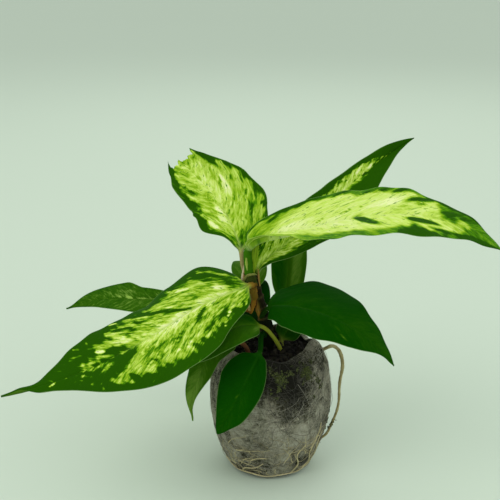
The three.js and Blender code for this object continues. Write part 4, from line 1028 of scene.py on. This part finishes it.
class PLANT_PG_plug(bpy.types.PropertyGroup):
    """Sizes and colours of the plug, its roots and the stem."""

    fibres: bpy.props.IntProperty(name="Fibres", default=620, min=0, max=900,
        description="Loose fibres on the fleece")
    crumbs: bpy.props.IntProperty(name="Crumbs", default=620, min=0, max=2000,
        description="Loose crumbs of potting mix")
    fibre_radius: bpy.props.FloatProperty(name="Fibre radius", default=0.00006, min=0.00001,
        max=0.0005, unit="LENGTH", description="Radius of a loose fibre")
    fleece_dark: colour_property("Fleece, damp", "Fleece where the mix shows through",
        (0.035, 0.033, 0.016))
    fleece_middle: colour_property("Fleece", "Most of the fleece", (0.26, 0.243, 0.178))
    fleece_pale: colour_property("Fleece, dry", "Palest fleece", (0.49, 0.47, 0.38))
    fibre: colour_property("Fibre", "Pale fibres of the fleece", (0.5, 0.48, 0.38))
    moss: colour_property("Moss", "Moss and algae on the fleece", (0.055, 0.075, 0.01))
    soil: colour_property("Potting mix", "Damp potting mix", (0.011, 0.009, 0.005))
    root: colour_property("Root", "Young roots", (0.46, 0.4, 0.22))


class PLANT_PG_stage(bpy.types.PropertyGroup):
    """The floor, light and camera."""

    floor_colour: colour_property("Floor", "Colour of the floor", (0.62, 0.72, 0.61))
    key_power: bpy.props.FloatProperty(name="Light", default=3.2, min=0, max=100, unit="POWER",
        description="Power of the large soft light")
    world_strength: bpy.props.FloatProperty(name="Surroundings", default=0.75, min=0, max=10,
        description="Strength of the even light from all round")
    camera_place: bpy.props.FloatVectorProperty(name="Camera", default=(-0.009, -0.3838, 0.2355),
        size=3, subtype="TRANSLATION", unit="LENGTH", description="Where the camera stands")
    camera_drop: bpy.props.FloatProperty(name="Camera angle", default=math.radians(19),
        subtype="ANGLE", description="How far below the horizon the camera looks")
    view_angle: bpy.props.FloatProperty(name="View", default=math.radians(30), subtype="ANGLE",
        description="Angle that the picture spans")


# ---------------------------------------------------------------- operators
class PLANT_OT_stage(bpy.types.Operator):
    """Lay the floor and set the lights and the camera"""

    bl_idname = "plant.stage"
    bl_label = "Stage"

    def execute(self, context):
        stage, scene = context.scene.plant_stage, context.scene
        side = np.linspace(-6000, 6000, 13)
        x, y = np.meshgrid(side, side, indexing="ij")
        points = np.stack([y, x, 0 * x + FLOOR_LEVEL], -1)
        floor = add_mesh("floor", points, [grid_faces(13, 13, closed=False)], floor_material())
        world = bpy.data.worlds.new("surroundings")
        world.use_nodes = True
        background = world.node_tree.nodes["Background"]
        background.inputs["Color"].default_value = (0.95, 1.0, 0.95, 1)
        background.inputs["Strength"].default_value = stage.world_strength
        scene.world = world
        lights = (
            ("key_light", (-0.55, -0.5, 0.95), 0.8, 1.0, (1, 0.99, 0.95)),
            ("fill_light", (0.7, -0.35, 0.6), 0.8, 0.35, (0.95, 1, 1)),
            ("back_light", (0.1, 0.8, 0.8), 0.9, 0.5, (0.97, 1, 0.95)),
        )
        for name, place, size, share, colour in lights:
            data = bpy.data.lights.new(name, "AREA")
            data.shape, data.size = "DISK", size
            data.energy, data.color = share * stage.key_power, colour
            light = bpy.data.objects.new(name, data)
            light.location = place
            target = np.array([0, 0, 0.07]) - np.array(place)
            flat = math.hypot(target[0], target[1])
            light.rotation_euler = (math.atan2(flat, -target[2]), 0, math.atan2(-target[0], target[1]))
            scene.collection.objects.link(light)
        data = bpy.data.cameras.new("camera")
        data.sensor_width = 36
        data.lens = 18 / math.tan(stage.view_angle / 2)
        data.clip_start, data.clip_end = 0.01, 60
        camera = bpy.data.objects.new("camera", data)
        camera.location = stage.camera_place
        camera.rotation_euler = (math.pi / 2 - stage.camera_drop, 0, 0)
        scene.collection.objects.link(camera)
        scene.camera = camera
        scene.view_settings.view_transform = "Standard"
        return {"FINISHED"}


class PLANT_OT_leaves(bpy.types.Operator):
    """Build the thirteen leaves, each over its own solid"""

    bl_idname = "plant.leaves"
    bl_label = "Leaves"

    def execute(self, context):
        sizes = context.scene.plant_leaves
        for seed, (name, spec) in enumerate(LEAVES.items()):
            paint = {**PAINT_UNLESS_SAID, **PAINT[name]}
            piece = leaf_mesh(name, LeafForm(spec), paint, sizes, seed + 1)
            slot = "leaf_variegated" if name in VARIEGATED else "leaf_green"
            own(piece, slot, name)
        return {"FINISHED"}


class PLANT_OT_fleece(bpy.types.Operator):
    """Wrap the plug in fleece: its outer face, a rounded lip and its inner face, closed underneath"""

    bl_idname = "plant.fleece"
    bl_label = "Fleece"

    def execute(self, context):
        columns, wrap_length = 360, 17.0
        outer, out = plug_profile(0, 120)
        inner, inner_out = (rows[::-1] for rows in plug_profile(FLEECE_THICKNESS, 46))
        foot = np.stack([np.linspace(1.5, 13.5, 9), 0.35 * (1 - np.linspace(0.1, 0.9, 9) ** 2)], -1)
        middle, arm = (outer[-1] + inner[0]) / 2, (outer[-1] - inner[0]) / 2
        beyond = np.array([-arm[1], arm[0]]) * 1.2
        lip_turn = np.linspace(0, np.pi, 7)[1:-1, None]
        lip = middle + np.cos(lip_turn) * arm + np.sin(lip_turn) * beyond
        inside = np.stack([np.linspace(13, 1.5, 6), np.full(6, FLEECE_THICKNESS + 0.2)], -1)
        profile = np.concatenate([foot, outer, lip, inner, inside])
        normals = np.concatenate([0 * foot, out, out[-1] + 0 * lip, inner_out, 0 * inside])
        turn = round_turns(columns, len(profile)) + np.pi / 2
        points = fleece_place(profile[:, None], normals[:, None], turn)
        points = with_ends(points, [[0, 0, 0.35], [0, 0, FLEECE_THICKNESS + 0.2]])
        stain = with_ends(fleece_stains(turn, profile[:, 1:]), [[0, 0.3, 0], [0, 0.8, 0]])
        faces = closed_rings(len(profile), columns)
        piece = add_mesh("fleece_cloth", points, faces, fleece_material(), {"stain": stain})
        layer = piece.data.uv_layers.new(name="wrap")
        reached = distance_along(profile) / 10
        i, j = np.meshgrid(np.arange(len(profile) - 1), np.arange(columns), indexing="ij")
        u = np.stack([j, j + 1, j + 1, j], -1) * (wrap_length / columns)
        v = reached[np.stack([i, i, i + 1, i + 1], -1)]
        uv = np.stack([u, v], -1).reshape(-1, 2)
        fans = np.zeros((faces[1].size, 2))
        layer.data.foreach_set("uv", np.concatenate([uv, fans]).astype(np.float32).ravel())
        own(piece, "fleece", "fleece_wrap")
        return {"FINISHED"}


class PLANT_OT_fibres(bpy.types.Operator):
    """Scatter loose fibres over the fleece"""

    bl_idname = "plant.fibres"
    bl_label = "Loose fibres"

    def execute(self, context):
        sizes = context.scene.plant_plug
        rng = np.random.default_rng(41)
        count, steps, total = sizes.fibres, 22, 62
        heading = headings(rng, count, steps, 0.17)
        stride = rng.uniform(0.3, 1.1, count)[:, None]
        turn = strayed(rng.uniform(0, 2 * np.pi, count), np.cos(heading) * stride / ROUGH_RADIUS)
        climb = strayed(rng.uniform(3, total - 2, count), np.sin(heading) * stride)
        profile, out = plug_profile(0, FINE_OUTLINE)
        at, rows = np.clip(climb / total, 0.02, 0.995) * (FINE_OUTLINE - 1), np.arange(FINE_OUTLINE)
        loose = rng.uniform(0, 1, count)[:, None] ** 3.5 * np.sin(np.linspace(0, np.pi, steps)) ** 2
        lines = fleece_place(lookup(at, rows, profile), lookup(at, rows, out), turn, 0.04 + 0.9 * loose)
        wide = sizes.fibre_radius / MM * rng.uniform(0.6, 1.5, (count, 1))
        points, faces = tubes(lines, wide, 3)
        damp = fleece_stains(turn[:, :1], climb[:, :1])[:, 0, 1:2]
        grain = rng.uniform(0, 1, (count, 3)) - 1.2 * np.clip(damp, 0, 1)
        material = speckled_material("loose_fibre", shades(sizes.fibre, 0.12, 0.55, 1), 200, 0.0001, 0.8)
        piece = add_mesh("fleece_fibres", points, faces, material,
            {"grain": np.repeat(grain, points.shape[1], axis=0)})
        own(piece, "fleece")
        return {"FINISHED"}


class PLANT_OT_potting_mix(bpy.types.Operator):
    """Fill the plug with potting mix and strew crumbs on it"""

    bl_idname = "plant.potting_mix"
    bl_label = "Potting mix"

    def execute(self, context):
        sizes = context.scene.plant_plug
        columns = 240
        wall, out = plug_profile(FLEECE_THICKNESS + 0.45, 60)
        keep = wall[:, 1] < SOIL_LEVEL - 1.5
        wall, out = wall[keep], out[keep]
        wall_points = fleece_place(wall[:, None], out[:, None], round_turns(columns, len(wall)))
        edge = wall_points[-1]
        shares = np.linspace(0.98, 0.03, 54)[:, None]
        top = soil_place(np.hypot(edge[:, 0], edge[:, 1]) * shares, round_turns(columns, len(shares)))
        rim = smooth(1.0, 0.9, shares)
        top[..., 2] = edge[:, 2] * (1 - rim) + top[..., 2] * rim
        rows = np.concatenate([wall_points, top])
        points = with_ends(rows, [[0, 0, FLEECE_THICKNESS + 0.45], soil_place(0.0, 0.0)])
        material = speckled_material("damp_mix", shades(sizes.soil, 0.45, 1, 2.6), 700, 0.0008, 0.95, 0.3)
        piece = add_mesh("potting_mix", points, closed_rings(len(rows), columns), material,
            {"grain": np.full(points.shape, 0.5)})
        own(piece, "potting_mix", "soil_plug")
        rng = np.random.default_rng(17)
        radius = 17.2 * np.sqrt(rng.uniform(0.02, 1, sizes.crumbs))
        turn = rng.uniform(0, 2 * np.pi, sizes.crumbs)
        big = rng.uniform(0.3, 1.0, sizes.crumbs) ** 2 * 1.5 + 0.15
        points, faces, grain = pebbles(rng, soil_place(radius, turn, 0.25 * big), big)
        crumbs = add_mesh("soil_crumbs", points, faces, material, {"grain": grain})
        own(crumbs, "potting_mix")
        return {"FINISHED"}


def stem_colours(height, facing):
    """Paint of the stem by height and compass direction: green-black at the base and at the right, which is
    painted shade for the shadow under the leaves and on the stem's shaded side, olive above, a tan dry
    sheath up the left of the front and paler rings at the scars."""
    # The green-black is painted shade: the stem's foot lies in the shadow under the leaves.
    shaded_base = np.array([0.006, 0.01, 0.003])
    olive = np.array([0.06, 0.08, 0.012])
    shaded_brown = np.array([0.022, 0.012, 0.003])
    tan = np.array([0.4, 0.22, 0.035])
    scar = np.array([0.16, 0.14, 0.05])
    high = smooth(70, 86, height)[..., None]
    colour = shaded_base * (1 - high) + olive * high
    # The stem's right side is darkened as painted shade, turning to the shaded brown higher up.
    right = np.exp(-(((facing + 40) / 55) ** 4))[..., None]
    colour = colour * (1 - right) + (shaded_base + (shaded_brown - shaded_base) * high) * right
    off = (facing + 125 + 180) % 360 - 180
    strip = np.exp(-((off / 30) ** 4)) * smooth(71, 75, height) * (1 - smooth(88, 90, height))
    colour = colour * (1 - strip[..., None]) + tan * strip[..., None]
    for z in SCARS:
        ring = np.exp(-((height - z) / 0.5) ** 2)[..., None] * 0.3
        colour = colour * (1 - ring) + scar * ring
    return np.concatenate([colour, np.ones((*height.shape, 1))], -1)


class PLANT_OT_stem(bpy.types.Operator):
    """Build the main stem, ribbed and ringed with scars"""

    bl_idname = "plant.stem"
    bl_label = "Stem"

    def execute(self, context):
        sides = 48
        line, _, wide = swept(MAIN_STEM, 0.4)
        turn = round_turns(sides, len(line))
        height = np.repeat(line[:, 2:], sides, axis=1)
        scars = sum(np.exp(-((height - z - 0.5 * np.sin(turn + z)) / 0.35) ** 2) for z in SCARS)
        ribs = 0.05 * np.sin(9 * turn + 0.2 * height) + 0.04 * np.sin(17 * turn - 0.5 * height)
        swell = 1 + 0.02 * np.sin(3 * turn + 0.3 * height)
        radius = wide[:, None] * swell + ribs + 0.22 * scars - 0.1
        points, faces = tubes(line[None], radius[None], sides)
        out = points[0, :-2].reshape(len(line), sides, 3) - line[:, None]
        facing = np.degrees(np.arctan2(out[..., 1], out[..., 0]))
        colour = with_ends(stem_colours(height, facing), [[0.1, 0.1, 0.03, 1]] * 2)
        run = with_ends(np.stack([0.3 * turn, height / 10, 0 * turn], -1), np.zeros((2, 3)))
        piece = add_mesh("stem_bark", points, faces, bark_material(), {"bark": colour, "run": run})
        own(piece, "stem", "main_stem")
        return {"FINISHED"}


class PLANT_OT_sheaths(bpy.types.Operator):
    """Lay the strips of dry sheath and the petiole wings round the crown"""

    bl_idname = "plant.sheaths"
    bl_label = "Sheaths"

    def execute(self, context):
        sides, thickness = 20, 0.24
        turn = round_turns(sides)
        points, faces, colours, runs, start = [], [], [], [], 0
        for number, (knots, widths, face, bow, colour) in enumerate(STRIPS):
            line, at = even_line(knots, 0.3)
            wide = np.interp(at / at[-1], np.linspace(0, 1, len(widths)), widths)
            wide = wide * (1 + 0.07 * np.sin(2.1 * at + number) + 0.06 * np.sin(5.3 * at))
            along, face = unit(np.gradient(line, axis=0)), np.array(face, float)
            out = unit(face - (along @ face)[:, None] * along)
            across = np.cross(along, out)
            width = np.cos(turn) * wide[:, None] / 2
            depth = thickness / 2 * np.sin(turn) - bow * np.cos(turn) ** 2 + 0.05 * np.sin(6 * width + number)
            body = line[:, None] + width[..., None] * across[:, None] + depth[..., None] * out[:, None]
            run = np.stack([width / 10 + number, at[:, None] / 10 + 0 * width, 0 * width], -1)
            points.append(with_ends(body, line[[0, -1]]))
            runs.append(with_ends(run, np.zeros((2, 3))))
            colours.append(np.tile([*colour, 1.0], (len(points[-1]), 1)))
            faces += [f[:, ::-1] + start for f in closed_rings(len(line), sides)]
            start += len(points[-1])
        piece = add_mesh("stem_sheaths", np.concatenate(points), faces, bark_material(),
            {"bark": np.concatenate(colours), "run": np.concatenate(runs)})
        own(piece, "stem")
        return {"FINISHED"}


class PLANT_OT_roots(bpy.types.Operator):
    """Build the looping root, the roots round the foot and the fine ones between them"""

    bl_idname = "plant.roots"
    bl_label = "Roots"

    def execute(self, context):
        line, at, wide = swept(AERIAL_ROOT, 0.45)
        wide = wide * (1 + 0.06 * np.sin(at * 0.9) + 0.05 * np.sin(at * 2.3 + 1) + 0.04 * np.sin(at * 5.1))
        sway = 0.25 * np.stack([np.sin(at * 0.35), np.sin(at * 0.5 + 1), 0 * at], -1)
        line = line + sway * smooth(0, 8, at)[:, None]
        points, faces = tubes(line[None], wide[None], 16)
        tan = speckled_material("aerial_root", [(0.16, 0.13, 0.045), (0.3, 0.25, 0.1), (0.42, 0.38, 0.18)],
            260, 0.0002, 0.6)
        piece = add_mesh("looping_root", points, faces, tan, {"grain": np.full(points.shape, 0.5)})
        own(piece, "root", "aerial_root")
        root = context.scene.plant_plug.root
        cream = speckled_material("foot_root", shades(root, 0.45, 1, 1.25), 300, 0.0002, 0.7)
        share = np.linspace(0, 1, 60)
        strands, widths = [], []
        for path, radius in FOOT_ROOTS:
            turn, height = np.array(path, float).T
            strand, at = even_line(fleece_place(*outline_at(height), np.radians(turn), radius * 0.4), 0.5)
            strands.append(lookup(share * at[-1], at, strand))
            widths.append(0.6 * radius * (1 - 0.35 * share) * (1 + 0.08 * np.sin(30 * share)))
        points, faces = tubes(strands, widths, 10)
        piece = add_mesh("roots_at_foot", points, faces, cream, {"grain": np.full(points.shape, 0.6)})
        own(piece, "root", "foot_roots")
        rng = np.random.default_rng(23)
        count, steps = 90, 18
        heading = headings(rng, count, steps, 0.25)
        turn = strayed(np.radians(rng.uniform(-170, 0, count)), np.cos(heading) * 0.9 / ROUGH_RADIUS)
        height = strayed(rng.uniform(1, 20, count), np.sin(heading) * 0.7)
        radius = rng.uniform(0.08, 0.2, count)[:, None] * np.linspace(1, 0.4, steps)
        lines = fleece_place(*outline_at(np.clip(height, 1.2, 30)), turn, radius * 0.6)
        points, faces = tubes(lines, radius, 6)
        grain = np.repeat(rng.uniform(0, 1, (count, 3)), points.shape[1], axis=0)
        piece = add_mesh("fine_roots", points, faces, cream, {"grain": grain})
        own(piece, "root")
        return {"FINISHED"}


class PLANT_OT_moss(bpy.types.Operator):
    """Grow tufts of moss on the damp fleece and at the lower end of the looping root"""

    bl_idname = "plant.moss"
    bl_label = "Moss"

    def execute(self, context):
        rng = np.random.default_rng(31)
        each = 10
        turn = np.concatenate([rng.normal(a, w, n // each) for a, _, w, _, n in MOSS])
        height = np.concatenate([rng.normal(h, t, n // each) for _, h, _, t, n in MOSS])
        turn = (turn[:, None] + rng.normal(0, 0.9, (len(turn), each))).ravel()
        height = (height[:, None] + rng.normal(0, 0.4, (len(height), each))).ravel()
        place = fleece_place(*outline_at(np.clip(height, 5, 59)), np.radians(turn), 0.15)
        first, second = np.array(AERIAL_ROOT["line"][-3:-1], float)
        patch = first + rng.uniform(0, 1, (80, 1)) * (second - first) * 0.8 + rng.normal(0, 0.35, (80, 3))
        place = np.concatenate([place, patch])
        points, faces, grain = pebbles(rng, place, rng.uniform(0.12, 0.4, len(place)))
        colours = [*shades(context.scene.plant_plug.moss, 0.3, 1), (0.1, 0.12, 0.03)]
        material = speckled_material("moss_growth", colours, 900, 0.0003, 0.9)
        piece = add_mesh("moss_tufts", points, faces, material, {"grain": grain})
        own(piece, "fleece")
        return {"FINISHED"}


# ---------------------------------------------------------------- panel
OPERATORS = (PLANT_OT_stage, PLANT_OT_potting_mix, PLANT_OT_fleece, PLANT_OT_fibres, PLANT_OT_moss,
    PLANT_OT_stem, PLANT_OT_sheaths, PLANT_OT_leaves, PLANT_OT_roots)
GROUPS = {"plant_leaves": PLANT_PG_leaves, "plant_plug": PLANT_PG_plug, "plant_stage": PLANT_PG_stage}


class PLANT_PT_panel(bpy.types.Panel):
    """Lists the pieces and their sizes"""

    bl_label = "Potted dieffenbachia"
    bl_idname = "PLANT_PT_panel"
    bl_space_type = "VIEW_3D"
    bl_region_type = "UI"
    bl_category = "Plant"

    def draw(self, context):
        for operator in OPERATORS:
            self.layout.operator(operator.bl_idname)
        for key, group in GROUPS.items():
            box = self.layout.box()
            for field in group.__annotations__:
                box.prop(getattr(context.scene, key), field)


def register():
    for made in (*GROUPS.values(), *OPERATORS, PLANT_PT_panel):
        bpy.utils.register_class(made)
    for key, group in GROUPS.items():
        setattr(bpy.types.Scene, key, bpy.props.PointerProperty(type=group))


def unregister():
    for key in GROUPS:
        delattr(bpy.types.Scene, key)
    for made in (PLANT_PT_panel, *OPERATORS, *GROUPS.values()):
        bpy.utils.unregister_class(made)


def main():
    """Builds every piece in order."""
    register()
    for operator in OPERATORS:
        group, name = operator.bl_idname.split(".")
        getattr(getattr(bpy.ops, group), name)()


if __name__ == "__main__":
    main()
